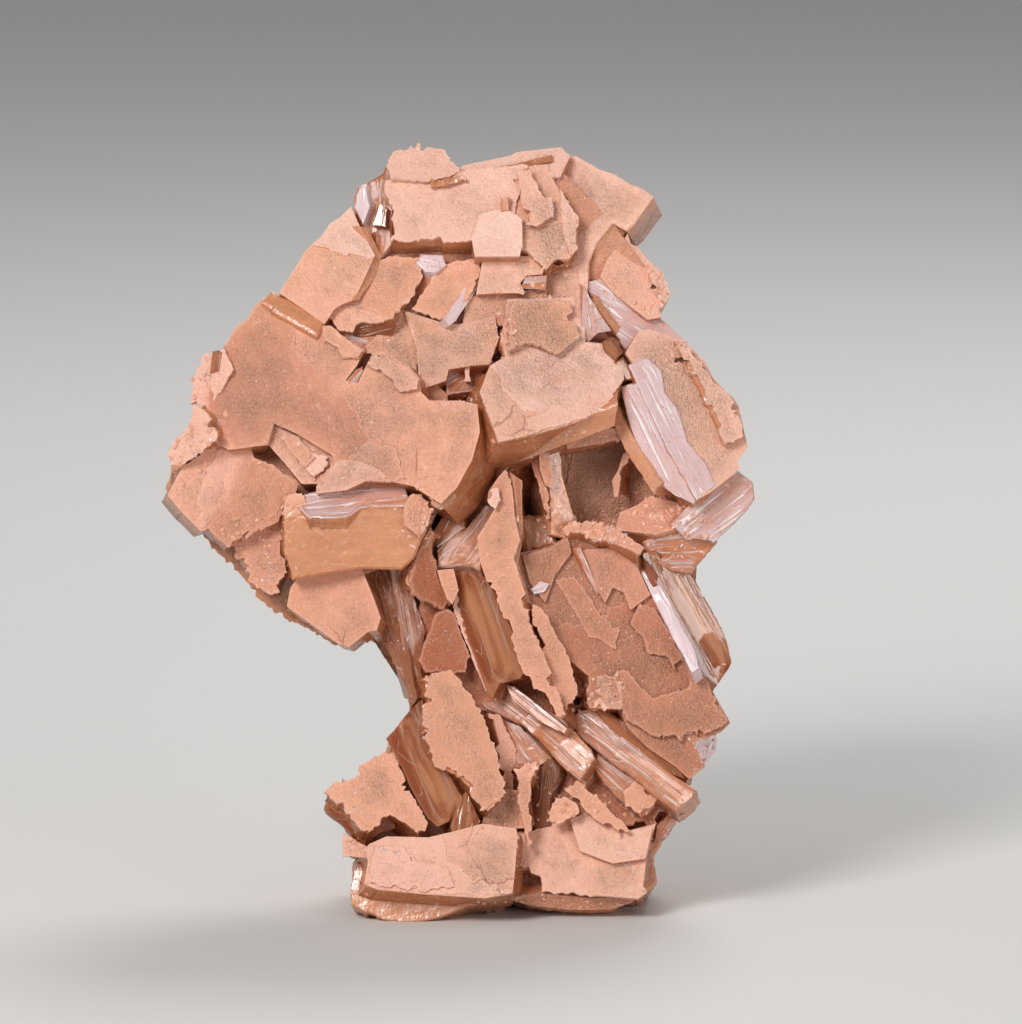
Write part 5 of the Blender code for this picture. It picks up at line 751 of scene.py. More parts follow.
def fittedPlate(plate):     # made small enough not to show past the display face
    across, up, out, width, height, *rest = plate
    left, right = bodyReach(up)
    middle = Vector(((left + right) / 2, min(up, hiddenSide["middleTop"]),
                     (innerBody["front"] + innerBody["back"]) / 2))
    for shrink in hiddenSide["shrink"]:
        place = Vector((across, up, out)).lerp(middle, (1 - shrink) * hiddenSide["drawnIn"])
        (centre, side, rise, normal), flat, thick = cutPlate(*place, width * shrink, height * shrink, *rest)
        taper = hiddenSide["taper"]
        front = [centre + (side * a + rise * b) * taper for a, b in flat]
        back = [centre + side * a + rise * b - normal * thick for a, b in flat]
        if all(inside(silhouette, p.x, p.y) and p.z < hiddenSide["front"] for p in front + back):
            return (centre, side, rise, normal), [(a * taper, b * taper) for a, b in flat], thick
    return None


def hiddenPlates():     # rows of plates from the right side round the back to the left side
    plan = hiddenSide
    dice = random.Random(plan["seed"])
    rows = innerBody["widths"]
    plates = []
    height = rows[0][0] + plan["row"] / 2
    while height < rows[-1][0] + plan["row"]:
        left, right = bodyReach(height)
        middleX, half = (left + right) / 2, (right - left) / 2
        deep = innerBody["front"] - innerBody["back"]
        count = round((2 * deep + 2 * half) / plan["step"])
        leanUp = max(0, height - plan["leanStart"]) * plan["leanRate"]
        for i in range(count):
            angle = math.pi / 2 + math.pi * (i + dice.uniform(*plan["spread"])) / count
            x = math.copysign(abs(math.sin(angle)) ** plan["squareness"], math.sin(angle))
            out = -abs(math.cos(angle)) ** plan["squareness"]
            stand = dice.uniform(*plan["stand"])
            width = dice.uniform(*plan["size"])
            plates.append((
                middleX + x * (half + stand), height + dice.uniform(-plan["up"], plan["up"]),
                innerBody["front"] + out * (deep + stand), width, width * dice.uniform(*plan["height"]),
                dice.uniform(*plan["thick"]),
                math.degrees(math.atan2(x, out)) + dice.uniform(-plan["tilt"], plan["tilt"]),
                dice.uniform(-plan["tilt"], plan["tilt"]) + leanUp,
                dice.uniform(-plan["turn"], plan["turn"])))
        height += plan["row"]
    return plates


def longAxis(flat):     # direction in which a crystal is longest
    points = np.array(flat)
    points = points - points.mean(axis=0)
    return Vector(np.linalg.eigh(points.T @ points)[1][:, 1])


def rimPoints(flat, step, ragged, seed):
    # Points round an outline: place, outward direction, distance along, and how far the rim strays there
    count = len(flat)
    corners = [Vector(p) for p in flat]
    outward = []
    for i in range(count):
        run = corners[(i + 1) % count] - corners[i]
        outward.append(Vector((run.y, -run.x)).normalized())
    points = []
    along = 0.0
    dice = random.Random(seed * 7 + 1)
    chipEnd, chip = 0.0, 0.0        # the crust breaks in small straight steps
    for i in range(count):
        start, end = corners[i], corners[(i + 1) % count]
        length = (end - start).length
        pieces = max(1, round(length / step))
        for k in range(pieces):
            share = k / pieces
            direction = outward[i]
            if k == 0:
                direction = outward[i - 1] + outward[i]
                direction = direction / max(0.6, direction.length_squared / 2)
            if along > chipEnd:
                chipEnd = along + 0.25 + 2.2 * dice.random() ** 2
                chip = -3.0 * dice.random() ** 1.6 if dice.random() < 0.5 else dice.uniform(-0.2, 0.4)
            grain = noise.noise(Vector((along * 2.9, seed * 7.3, 0)))
            slow = noise.noise(Vector((along * 0.35, seed * 3.3, 0)))
            stray = ragged * (chip + 0.9 * grain + 0.3 * slow) * (0.3 if k == 0 else 1)
            points.append((start.lerp(end, share), direction, along, stray))
            along += length / pieces
    return points


def facetLines(flat, long, wide, depth, dice):      # edges between the lengthwise facets of a bare crystal
    # Each line: where it starts and ends across the crystal, and its height at both ends
    lengths = [a * long.x + b * long.y for a, b in flat]
    widths = [a * wide.x + b * wide.y for a, b in flat]
    across = min(widths) - 0.5
    lines = []
    while across < max(widths) + 0.5:
        high = 0.0 if len(lines) % 2 else -depth * dice.uniform(0.35, 1.0)
        end = across + dice.uniform(-0.25, 0.25)
        lines.append((across, end, high, high - depth * dice.uniform(-0.2, 0.3)))
        across += dice.uniform(*meshing["facet"])
    return min(lengths), max(lengths), lines


def facetHeight(facets, along, across):
    low, high, lines = facets
    share = min(1.0, max(0.0, (along - low) / (high - low)))
    places = [start + (end - start) * share for start, end, atStart, atEnd in lines]
    heights = [atStart + (atEnd - atStart) * share for start, end, atStart, atEnd in lines]
    return float(np.interp(across, places, heights))


def faceMesh(ring, spacing, dice, facets=None, long=None, wide=None):
    # Fills a ring of 2D points with triangles and further points between them
    points = np.array([tuple(p) for p in ring])
    low, high = points.min(axis=0), points.max(axis=0)
    grid = []
    rows = max(1, int((high[1] - low[1]) / (spacing * meshing["triangleRows"])))
    columns = max(1, int((high[0] - low[0]) / spacing))
    if facets:      # points stand in rows along the edges of the facets
        start, end, lines = facets
        steps = max(2, int((end - start) / (spacing * 1.6)))
        for first, last, atStart, atEnd in lines:
            for share in np.linspace(0, 1, steps + 1):
                spot = long * (start + (end - start) * share) + wide * (first + (last - first) * share)
                grid.append((spot.x, spot.y))
    else:
        for j in range(rows + 1):
            for i in range(columns + 1):
                strayX, strayY = dice.uniform(-0.22, 0.22), dice.uniform(-0.22, 0.22)
                grid.append((low[0] + (i + 0.5 * (j % 2) + strayX) * spacing,
                             low[1] + (j * meshing["triangleRows"] + strayY) * spacing))
    grid = np.array(grid)
    within = np.zeros(len(grid), bool)
    nearest = np.full(len(grid), 1e9)
    for (x0, y0), (x1, y1) in zip(points, np.roll(points, -1, axis=0)):
        crosses = (y0 > grid[:, 1]) != (y1 > grid[:, 1])
        if y1 != y0:
            within ^= crosses & (grid[:, 0] < x0 + (grid[:, 1] - y0) / (y1 - y0) * (x1 - x0))
        nearest = np.minimum(nearest, np.hypot(grid[:, 0] - x0, grid[:, 1] - y0))
    kept = within & (nearest > spacing * 0.55)
    inner = grid[kept]
    verts = [Vector(p) for p in points] + [Vector(p) for p in inner]
    count = len(points)
    edges = []
    if facets:
        numbers = count + np.cumsum(kept) - 1
        for i in range(len(grid) - 1):
            if kept[i] and kept[i + 1] and (i + 1) % (steps + 1):
                edges.append((int(numbers[i]), int(numbers[i + 1])))
    found = geometry.delaunay_2d_cdt(verts, edges, [list(range(count))], 1, 1e-6)
    if len(found[0]) != len(verts) or any(len(source) != 1 for source in found[3]):
        return None
    source = [ids[0] for ids in found[3]]
    faces = [tuple(source[i] for i in face) for face in found[2]]
    boundary = {}
    for face in faces:
        for i in range(3):
            edge = tuple(sorted((face[i], face[(i + 1) % 3])))
            boundary[edge] = boundary.get(edge, 0) + 1
    rim = {edge for edge, uses in boundary.items() if uses == 1}
    if rim != {tuple(sorted((i, (i + 1) % count))) for i in range(count)}:
        return None
    return [tuple(p) for p in inner], faces


def smoothStep(value, low, high):
    share = min(1.0, max(0.0, (value - low) / (high - low)))
    return share * share * (3 - 2 * share)


def sideProfile(kind, thick, step, dice):
    # Rings down a crystal's side: how far in, how deep, and the slot of the band above
    crust, bevel = kind["crust"], kind["bevel"]
    slotFace, slotSide = slots[kind["face"]], slots[kind["side"]]
    if crust:
        profile = [(bevel, 0.0, slotFace), (bevel * 0.25, -bevel * 0.45, slotFace),
                   (0.0, -crust * 0.5, slotFace), (0.07, -crust, slotFace), (0.26, -crust - 0.04, slotSide)]
    else:
        profile = [(bevel, 0.0, slotFace), (0.0, -bevel * 0.8, slotFace)]
    inset, depth = profile[-1][0], -profile[-1][1]
    while depth < thick - step:
        depth += meshing["layer"] * dice.uniform(0.7, 1.5) * max(1.0, step * 1.6)
        wander = (0.08 if crust else 0.03) * dice.uniform(-1, 1)
        profile.append((inset + wander, -min(depth, thick), slotSide))
    if profile[-1][1] > -thick:
        profile.append((inset, -thick, slotSide))
    return profile


def reliefPoints(points, count, thick, kind, facets, long, wide, seed):
    # A face's points with their heights, and their places along and across the growth lines and from the rim
    lip, lipStart, lipEnd = meshing["lip"]
    verts, grow = [], []
    tree = kdtree.KDTree(count)
    for i, (a, b) in enumerate(points[:count]):
        tree.insert((a, b, 0), i)
    tree.balance()
    for number, (a, b) in enumerate(points):
        spot = Vector((a, b, seed * 3.7))
        edge = tree.find((a, b, 0))[2]
        rise = kind["relief"] * sum(share * noise.noise(spot * waves)
                                    for share, waves in (meshing["broadRelief"], meshing["fineRelief"]))
        if kind["crust"]:
            rise += lip * (1 - smoothStep(edge, lipStart, lipEnd))
            rise += (0.03 + kind["sand"] * 0.05) * noise.noise(spot * meshing["grainWaves"])
        across = a * wide.x + b * wide.y
        if facets:
            rise += facetHeight(facets, a * long.x + b * long.y, across)
            rise = max(rise, -0.45 * kind["bevel"] if number < count else -0.8 * thick)
        verts.append((a, b, min(rise, meshing["highest"])))
        grow.append((a * long.x + b * long.y, across, edge))
    return verts, grow


def crystalObject(name, axes, flat, thick, taper, finish, step, seed, lift=0.0, tone=0.0,
                  spread=False):
    kind = finishes[finish]
    dice = random.Random(seed)
    middle, right, up, normal = axes
    middle = middle + normal * lift
    long = longAxis(flat)
    wide = Vector((-long.y, long.x))
    crust = kind["crust"]
    bevel = kind["bevel"]
    slotFace, slotSide = slots[kind["face"]], slots[kind["side"]]
    narrow = abs(centroid(flat)[2]) / max(math.dist(p, q) for p in flat for q in flat)      # mean width in mm
    rim = rimPoints(flat, step, kind["ragged"] * min(1.0, 0.25 + narrow / 5), seed)
    count = len(rim)
    tone = max(-1.2, min(1.2, kind["tone"] + tone + dice.uniform(-1, 1) * meshing["toneSpread"]))

    profile = sideProfile(kind, thick, step, dice)
    faces = None
    ridges = kind["ridges"]
    facets = facetLines(flat, long, wide, min(ridges, 0.12 * narrow + 0.04), dice) if ridges else None
    for ease in (1.0, 0.5, 0.15, 0.0):
        ragged = 1 if ease else 0
        ring = [place + out * (stray * ragged - bevel * ease) for place, out, along, stray in rim]
        filled = faceMesh(ring, step * meshing["faceStep"], dice, facets, long, wide)
        if filled:
            inner, faces = filled
            break
    if not faces:
        return None

    verts, grow = reliefPoints([tuple(p) for p in ring] + inner, count, thick, kind, facets, long, wide, seed)
    polygons = [(face, slotFace, True) for face in faces]
    starts = [0]
    for level, (inset, height, slot) in enumerate(profile[1:], 1):
        starts.append(len(verts))
        share = 1 + (taper - 1) * (-height / thick)
        flare = 1 + meshing["flare"] * smoothStep(-height, *meshing["rootStart"]) if spread else 1
        for i, (place, out, along, stray) in enumerate(rim):
            spot = Vector((along * 0.7, height * 1.6, seed * 1.9))
            rough = 0.05 * noise.noise(spot) if slot == slotSide else 0.03 * noise.noise(spot * 2.3)
            keep = 1.0 if not crust or height > -crust * 1.05 else 0.35
            point = (place + out * (stray * keep * ragged - inset * (ease or 0.1) + rough)) * share
            wider = point * flare
            spot = middle + right * wider.x + up * wider.y + normal * height
            if flare > 1 and inside(silhouette, spot.x, spot.y):
                point = wider
            fall = height
            if crust and 1 < level < 5:
                fall *= 0.85 + 0.5 * noise.noise(Vector((along * 0.45, seed * 4.3, 0)))
            verts.append((point.x, point.y, fall))
            grow.append((along, height, -height - crust))
        above, below = starts[-2], starts[-1]
        for i in range(count):
            j = (i + 1) % count
            polygons.append(((above + j, above + i, below + i, below + j), slot, False))
    last = starts[-1]
    polygons.append((tuple(range(last + count - 1, last - 1, -1)), slotSide, False))

    mesh = bpy.data.meshes.new(name)
    mesh.from_pydata([standUp(middle + right * a + up * b + normal * h) for a, b, h in verts], [],
                     [p[0] for p in polygons])
    withCoats(mesh, [p[1] for p in polygons])
    growthValues, lookValues = [], []
    for face, slot, onFace in polygons:
        for i in face:
            x, y, z = grow[i]
            if not onFace and i < starts[1]:
                x, y, z = rim[i][2], 0.0, 0.0       # the face's own ring, as the side sees it
            growthValues.extend((x, y, z if onFace else 0.0))
            lookValues.extend((tone if slot == slotFace else tone * meshing["sideTone"], kind["sand"],
                               0.0 if onFace else max(0.0, z)))
    withValues(mesh, growthValues, lookValues)
    return bpy.data.objects.new(name, mesh)


def withCoats(mesh, coats):     # gives a mesh the four materials, and each face its own
    for slot in slots:
        mesh.materials.append(bpy.data.materials[materialNames[slot]])
    mesh.polygons.foreach_set("material_index", coats)


def withValues(mesh, growthValues, lookValues):     # what the materials read at each corner of a face
    for label, values in (("grow", growthValues), ("look", lookValues)):
        mesh.attributes.new(label, 'FLOAT_VECTOR', 'CORNER').data.foreach_set("vector", values)


def clippedBy(flat, point, direction):      # the part of an outline that lies before a straight line
    kept = []
    for i, (a, b) in enumerate(flat):
        c, d = flat[(i + 1) % len(flat)]
        here = (a - point[0]) * direction.x + (b - point[1]) * direction.y
        there = (c - point[0]) * direction.x + (d - point[1]) * direction.y
        if here <= 0:
            kept.append((a, b))
        if here * there < 0:
            share = here / (here - there)
            kept.append((a + (c - a) * share, b + (d - b) * share))
    return kept


def brokenAlong(outline, offset, direction, dice):      # the straight cut of an outline made irregular
    made = []
    for i, (a, b) in enumerate(outline):
        c, d = outline[(i + 1) % len(outline)]
        made.append((a, b))
        onCut = all(abs(x * direction.x + y * direction.y - offset) < 1e-6 for x, y in ((a, b), (c, d)))
        length = math.hypot(c - a, d - b)
        if not onCut or length < 1.5:
            continue
        share = depth = 0.0
        while True:
            share += dice.uniform(*crustSheets["step"]) / length
            if share > 0.93:
                break
            low, high = crustSheets["notch"]
            stepped = min(high, max(low, depth + dice.choice((-1, 1)) * dice.uniform(0.1, 0.7)))
            for at, reach in ((share, depth + dice.uniform(-0.1, 0.1)), (share + 0.1 / length, stepped)):
                made.append((a + (c - a) * at - direction.x * reach, b + (d - b) * at - direction.y * reach))
            share += 0.1 / length
            depth = stepped
    return made


def drawnIn(flat, distance):        # an outline moved inwards
    count = len(flat)
    corners = [Vector(p) for p in flat]
    moved = []
    for i in range(count):
        before, after = corners[i] - corners[i - 1], corners[(i + 1) % count] - corners[i]
        direction = Vector((before.y, -before.x)).normalized() + Vector((after.y, -after.x)).normalized()
        direction = direction / max(0.6, direction.length_squared / 2)
        moved.append(tuple(corners[i] - direction * distance))
    return moved


def crustLayers(name, axes, flat, finish, step, seed):      # sheets of crust that cover part of a face
    dice = random.Random(seed * 17)
    area = abs(centroid(flat)[2])
    made = []
    for number in range(crustSheets["most"]):
        if area < crustSheets["leastArea"] * (number + 1) or dice.random() > crustSheets["share"]:
            continue
        angle = dice.uniform(0, 2 * math.pi)
        direction = Vector((math.cos(angle), math.sin(angle)))
        reach = [a * direction.x + b * direction.y for a, b in flat]
        cut = dice.uniform(0.35, 0.75)
        offset = min(reach) + (max(reach) - min(reach)) * cut
        outline = drawnIn(flat, dice.uniform(*crustSheets["drawnIn"]))
        outline = clippedBy(outline, direction * offset, direction)
        outline = brokenAlong(outline, offset, direction, dice)
        if len(outline) < 4 or abs(centroid(outline)[2]) < 2:
            continue
        lift = crustSheets["lift"] * (0.6 + 0.6 * number)
        thing = crystalObject(f"{name}Sheet{number}", axes, outline, crustSheets["thick"], 1.0,
                              finish + "Sheet", step, seed * 31 + number, lift, dice.uniform(-0.2, 0.25))
        if thing:
            made.append(thing)
    return made


def ringSolid(name, rings, slot, tone):     # a plain closed solid through rings of display-plane points
    points = [standUp(p) for ring in rings for p in ring]
    count = len(rings[0])
    faces = [list(range(count)), list(range(len(points) - 1, len(points) - count - 1, -1))]
    for start in range(0, len(points) - count, count):
        for i in range(count):
            j = (i + 1) % count
            faces.append([start + j, start + i, start + count + i, start + count + j])
    mesh = bpy.data.meshes.new(name)
    mesh.from_pydata(points, [], faces)
    withCoats(mesh, [slots[slot]] * len(faces))
    growthValues, lookValues = [], []
    for loop in mesh.loops:
        x, y, z = mesh.vertices[loop.vertex_index].co / mm
        growthValues.extend((x, z, 1.0))
        lookValues.extend((tone, 0.5, 0.8))
    withValues(mesh, growthValues, lookValues)
    return bpy.data.objects.new(name, mesh)


def linear(code):       # sRGB hex to linear
    values = [int(code[i:i + 2], 16) / 255 for i in (1, 3, 5)]
    return tuple(v / 12.92 if v <= 0.04045 else ((v + 0.055) / 1.055) ** 2.4 for v in values) + (1.0,)


def addNode(tree, kind, links=None, out=0, **settings):      # adds a node, links it, and returns an output
    made = tree.nodes.new(kind)
    for key, value in settings.items():
        setattr(made, key, value)
    for socket, source in (links or {}).items():
        if isinstance(source, bpy.types.NodeSocket):
            tree.links.new(source, made.inputs[socket])
        elif isinstance(source, str) and source.startswith("#"):
            made.inputs[socket].default_value = linear(source)
        else:
            made.inputs[socket].default_value = source
    return None if out is None else made.outputs[out]


# Noises for each material: patch size in mm, detail, roughness, and where its spread starts and ends
crustNoises = {
    "broad": (5.5, 3, 0.6, 0.32, 0.68), "mottle": (1.1, 4, 0.65, 0.32, 0.68),
    "hue": (9.0, 2, 0.5, 0.35, 0.65), "pits": (0.13, 1, 0.5, 0.41, 0.35),
    "paleGrainsAndGlints": (0.12, 1, 0.5, 0.68, 0.74), "height": (0.21, 2, 0.6, 0.3, 0.7),
    "swell": (0.8, 3, 0.6, 0.3, 0.7), "layers": (2.6, 5, 0.55, 0.25, 0.75),
    "cracked": (6.0, 1, 0.5, 0.60, 0.68), "shake": (1.5, 3, 0.6, 0.0, 1.0)}
crystalNoises = {
    "cloud": (2.6, 3, 0.55, 0.32, 0.68), "frost": (0.45, 3, 0.7, 0.60, 0.70),
    "gloss": (1.0, 3, 0.6, 0.3, 0.7), "swell": (0.7, 3, 0.6, 0.3, 0.7)}


def newMaterial(name, noiseTable):      # a material with its shader, its noises and the crystals' own values
    material = bpy.data.materials.new(name)
    material.use_nodes = True
    tree = material.node_tree
    place = addNode(tree, "ShaderNodeTexCoord", out="Object")
    grow = addNode(tree, "ShaderNodeAttribute", out="Vector", attribute_name="grow")
    look = addNode(tree, "ShaderNodeAttribute", out="Vector", attribute_name="look")
    look = addNode(tree, "ShaderNodeSeparateXYZ", {0: look}).node
    noises = {}
    for label, (size, detail, rough, low, high) in noiseTable.items():
        value = addNode(tree, "ShaderNodeTexNoise", {
            "Vector": place, "Scale": 1 / (size * mm), "Detail": detail, "Roughness": rough}, out="Fac")
        noises[label] = addNode(tree, "ShaderNodeMapRange", {
            "Value": value, "From Min": low, "From Max": high})
    return tree, tree.nodes["Principled BSDF"], place, look.outputs, grow, noises


def layered(tree, colour, layers):      # colours laid over each other, each by a share: source x times + plus
    for source, times, plus, over in layers:
        share = addNode(tree, "ShaderNodeMath", {0: source, 1: times, 2: plus}, operation='MULTIPLY_ADD',
                        use_clamp=True)
        colour = addNode(tree, "ShaderNodeMix", {0: share, 6: colour, 7: over}, out=2, data_type='RGBA')
    return colour


def crustMaterial():
    # Fine-grained stolzite crust: matte salmon where it is smooth, grey-tan and speckled where it is sandy
    tree, shader, place, look, grow, made = newMaterial(materialNames["crust"], crustNoises)
    edge = addNode(tree, "ShaderNodeSeparateXYZ", {0: grow}, out="Z")
    rim = addNode(tree, "ShaderNodeMapRange", {"Value": edge, 1: 0.1, 2: 1.5, 3: 0.55, 4: 0.0})
    # pale band along the crust's broken rim: partly the pale broken crust, partly a painted edge highlight
    lip = addNode(tree, "ShaderNodeMapRange", {"Value": edge, 1: 0.02, 2: 0.22, 3: 0.22, 4: 0.0})
    sandy = addNode(tree, "ShaderNodeMath", {0: made["mottle"], 1: 0.5, 2: -0.7}, operation='MULTIPLY_ADD')
    for operation, other in (('ADD', made["broad"]), ('ADD', look["Y"]), ('SUBTRACT', rim)):
        sandy = addNode(tree, "ShaderNodeMath", {0: sandy, 1: other}, operation=operation)
    sandy = addNode(tree, "ShaderNodeClamp", {0: sandy})
    salmon, grey = [layered(tree, plain, [(made["hue"], 0.45, 0, yellow), (look["X"], 0.85, 0, light),
                                          (look["X"], -0.85, 0, dark)])
                    for plain, yellow, light, dark in (("#e6a184", "#dfa47c", "#f0c8b8", "#a5562d"),
                                                       ("#d6a188", "#d0a17d", "#e6bfae", "#a8694c"))]
    ledges = addNode(tree, "ShaderNodeMath", {0: made["layers"], 1: 0.09}, operation='SNAP')
    moved = addNode(tree, "ShaderNodeVectorMath", {0: made["shake"], 1: [1.2 * mm] * 3, 2: place},
                    operation='MULTIPLY_ADD')
    seams = addNode(tree, "ShaderNodeTexVoronoi", {"Vector": moved, "Scale": 1 / (5 * mm)},
                    feature='DISTANCE_TO_EDGE')
    seams = addNode(tree, "ShaderNodeMapRange", {"Value": seams, 1: 0.004, 2: 0.011, 3: 0.5, 4: 0.0})
    seams = addNode(tree, "ShaderNodeMath", {0: seams, 1: made["cracked"]}, operation='MULTIPLY')
    pitted = addNode(tree, "ShaderNodeMath", {0: sandy, 1: 0.55, 2: 0.04}, operation='MULTIPLY_ADD')
    pitted = addNode(tree, "ShaderNodeMath", {0: pitted, 1: made["pits"]}, operation='MULTIPLY')
    # the pale grain dots are partly pale grains of the crust, partly painted glints
    colour = layered(tree, salmon, [
        (sandy, 1, 0, grey), (ledges, 0.4, -0.12, "#c3825f"), (seams, 1, 0, "#8f5233"),
        (pitted, 1, 0, "#8f5838"), (made["paleGrainsAndGlints"], 0.55, 0, "#fbe6dc"), (lip, 1, 0, "#f2c5ae")])
    tree.links.new(colour, shader.inputs["Base Color"])
    rough = addNode(tree, "ShaderNodeMapRange", {"Value": made["swell"], 3: 0.40, 4: 0.70})
    tree.links.new(rough, shader.inputs["Roughness"])
    shader.inputs["IOR"].default_value = 1.55
    height = addNode(tree, "ShaderNodeMath", {0: sandy, 1: 0.3}, operation='ADD')
    height = addNode(tree, "ShaderNodeMath", {0: made["height"], 1: height}, operation='MULTIPLY')
    for source, times in ((made["swell"], 0.4), (ledges, 3.0), (seams, -0.8)):
        height = addNode(tree, "ShaderNodeMath", {0: source, 1: times, 2: height}, operation='MULTIPLY_ADD')
    bump = addNode(tree, "ShaderNodeBump", {"Height": height, "Strength": 0.9, "Distance": 0.13 * mm})
    tree.links.new(bump, shader.inputs["Normal"])


def streaks(tree, grow, scale, detail, low, high):      # lines drawn out along a crystal's growth
    drawn = addNode(tree, "ShaderNodeMapping", {"Vector": grow, "Scale": scale})
    value = addNode(tree, "ShaderNodeTexNoise", {"Vector": drawn, "Scale": 1.0, "Detail": detail}, out="Fac")
    return addNode(tree, "ShaderNodeMapRange", {"Value": value, "From Min": low, "From Max": high})


def facets(tree, grow, scale):      # flat broken faces, each with its own random values
    drawn = addNode(tree, "ShaderNodeMapping", {"Vector": grow, "Scale": scale})
    shake = addNode(tree, "ShaderNodeTexNoise", {"Vector": drawn, "Scale": 1.3}, out="Color")
    drawn = addNode(tree, "ShaderNodeVectorMath", {0: shake, 1: (0.9, 0.9, 0.0), 2: drawn},
                    operation='MULTIPLY_ADD')
    return addNode(tree, "ShaderNodeTexVoronoi", {"Vector": drawn, "Scale": 1.0}, out="Color",
                   voronoi_dimensions='2D')


def fractures(tree, grow, scale, thin):     # thin bright lines of cracks inside a crystal
    drawn = addNode(tree, "ShaderNodeMapping", {"Vector": grow, "Scale": scale})
    shake = addNode(tree, "ShaderNodeTexNoise", {"Vector": drawn, "Scale": 1.7}, out="Color")
    drawn = addNode(tree, "ShaderNodeVectorMath", {0: shake, 1: (0.3, 0.3, 0.0), 2: drawn},
                    operation='MULTIPLY_ADD')
    edge = addNode(tree, "ShaderNodeTexVoronoi", {"Vector": drawn, "Scale": 1.0}, feature='DISTANCE_TO_EDGE',
                   voronoi_dimensions='2D')
    shown = addNode(tree, "ShaderNodeTexNoise", {"Vector": drawn, "Scale": 0.8}, out="Fac")
    shown = addNode(tree, "ShaderNodeMapRange", {"Value": shown, 1: 0.5, 2: 0.62})
    line = addNode(tree, "ShaderNodeMapRange", {"Value": edge, 1: 0.0, 2: thin, 3: 1.0, 4: 0.0})
    return addNode(tree, "ShaderNodeMath", {0: line, 1: shown}, operation='MULTIPLY')


def honeyMaterial():
    # Honey-coloured crystal seen from its side: waxy and glossy, with faint growth lines along the face
    tree, shader, place, look, grow, made = newMaterial(materialNames["honey"], crystalNoises)
    lines = streaks(tree, grow, (0.12, 1.6, 1.0), 3.0, 0.4, 0.7)
    cell = facets(tree, grow, (0.22, 0.5, 1.0))
    broken = addNode(tree, "ShaderNodeSeparateXYZ", {0: cell})
    cracks = fractures(tree, grow, (0.35, 0.8, 1.0), 0.03)
    # the sides grow darker the further they reach down from the face: painted shade toward the crevices
    deep = addNode(tree, "ShaderNodeMapRange", {"Value": look["Z"], 1: 0.0, 2: 3.2})
    deep = addNode(tree, "ShaderNodeMath", {0: made["cloud"], 1: 0.55, 2: deep}, operation='MULTIPLY_ADD')
    colour = layered(tree, "#cf8250", [
        (deep, 1, -0.25, "#96502a"), (broken, 0.3, 0, "#a05a30"), (look["X"], 0.9, 0, "#d69c7e"),
        (look["X"], -0.8, -0.25, "#6a2f14"), (lines, 0.22, 0, "#e6aa7e"), (cracks, 0.45, 0, "#f3c9a6"),
        (made["frost"], 0.4, 0, "#f0cdb6")])
    tree.links.new(colour, shader.inputs["Base Color"])
    shader.inputs["IOR"].default_value = 1.9
    shader.inputs["Subsurface Weight"].default_value = 0.3
    shader.inputs["Subsurface Radius"].default_value = (1.0, 0.45, 0.2)
    shader.inputs["Subsurface Scale"].default_value = 0.9 * mm
    rough = addNode(tree, "ShaderNodeMapRange", {"Value": made["gloss"], 3: 0.18, 4: 0.42})
    tree.links.new(rough, shader.inputs["Roughness"])
    tilt = addNode(tree, "ShaderNodeVectorMath", {0: cell, 1: (0.5, 0.5, 0.5)}, operation='SUBTRACT')
    tilt = addNode(tree, "ShaderNodeVectorMath", {0: tilt, 1: grow}, out="Value", operation='DOT_PRODUCT')
    height = addNode(tree, "ShaderNodeMath", {0: made["swell"], 1: 0.3, 2: tilt}, operation='MULTIPLY_ADD')
    bump = addNode(tree, "ShaderNodeBump", {"Height": height, "Strength": 0.6, "Distance": 0.2 * mm})
    tree.links.new(bump, shader.inputs["Normal"])


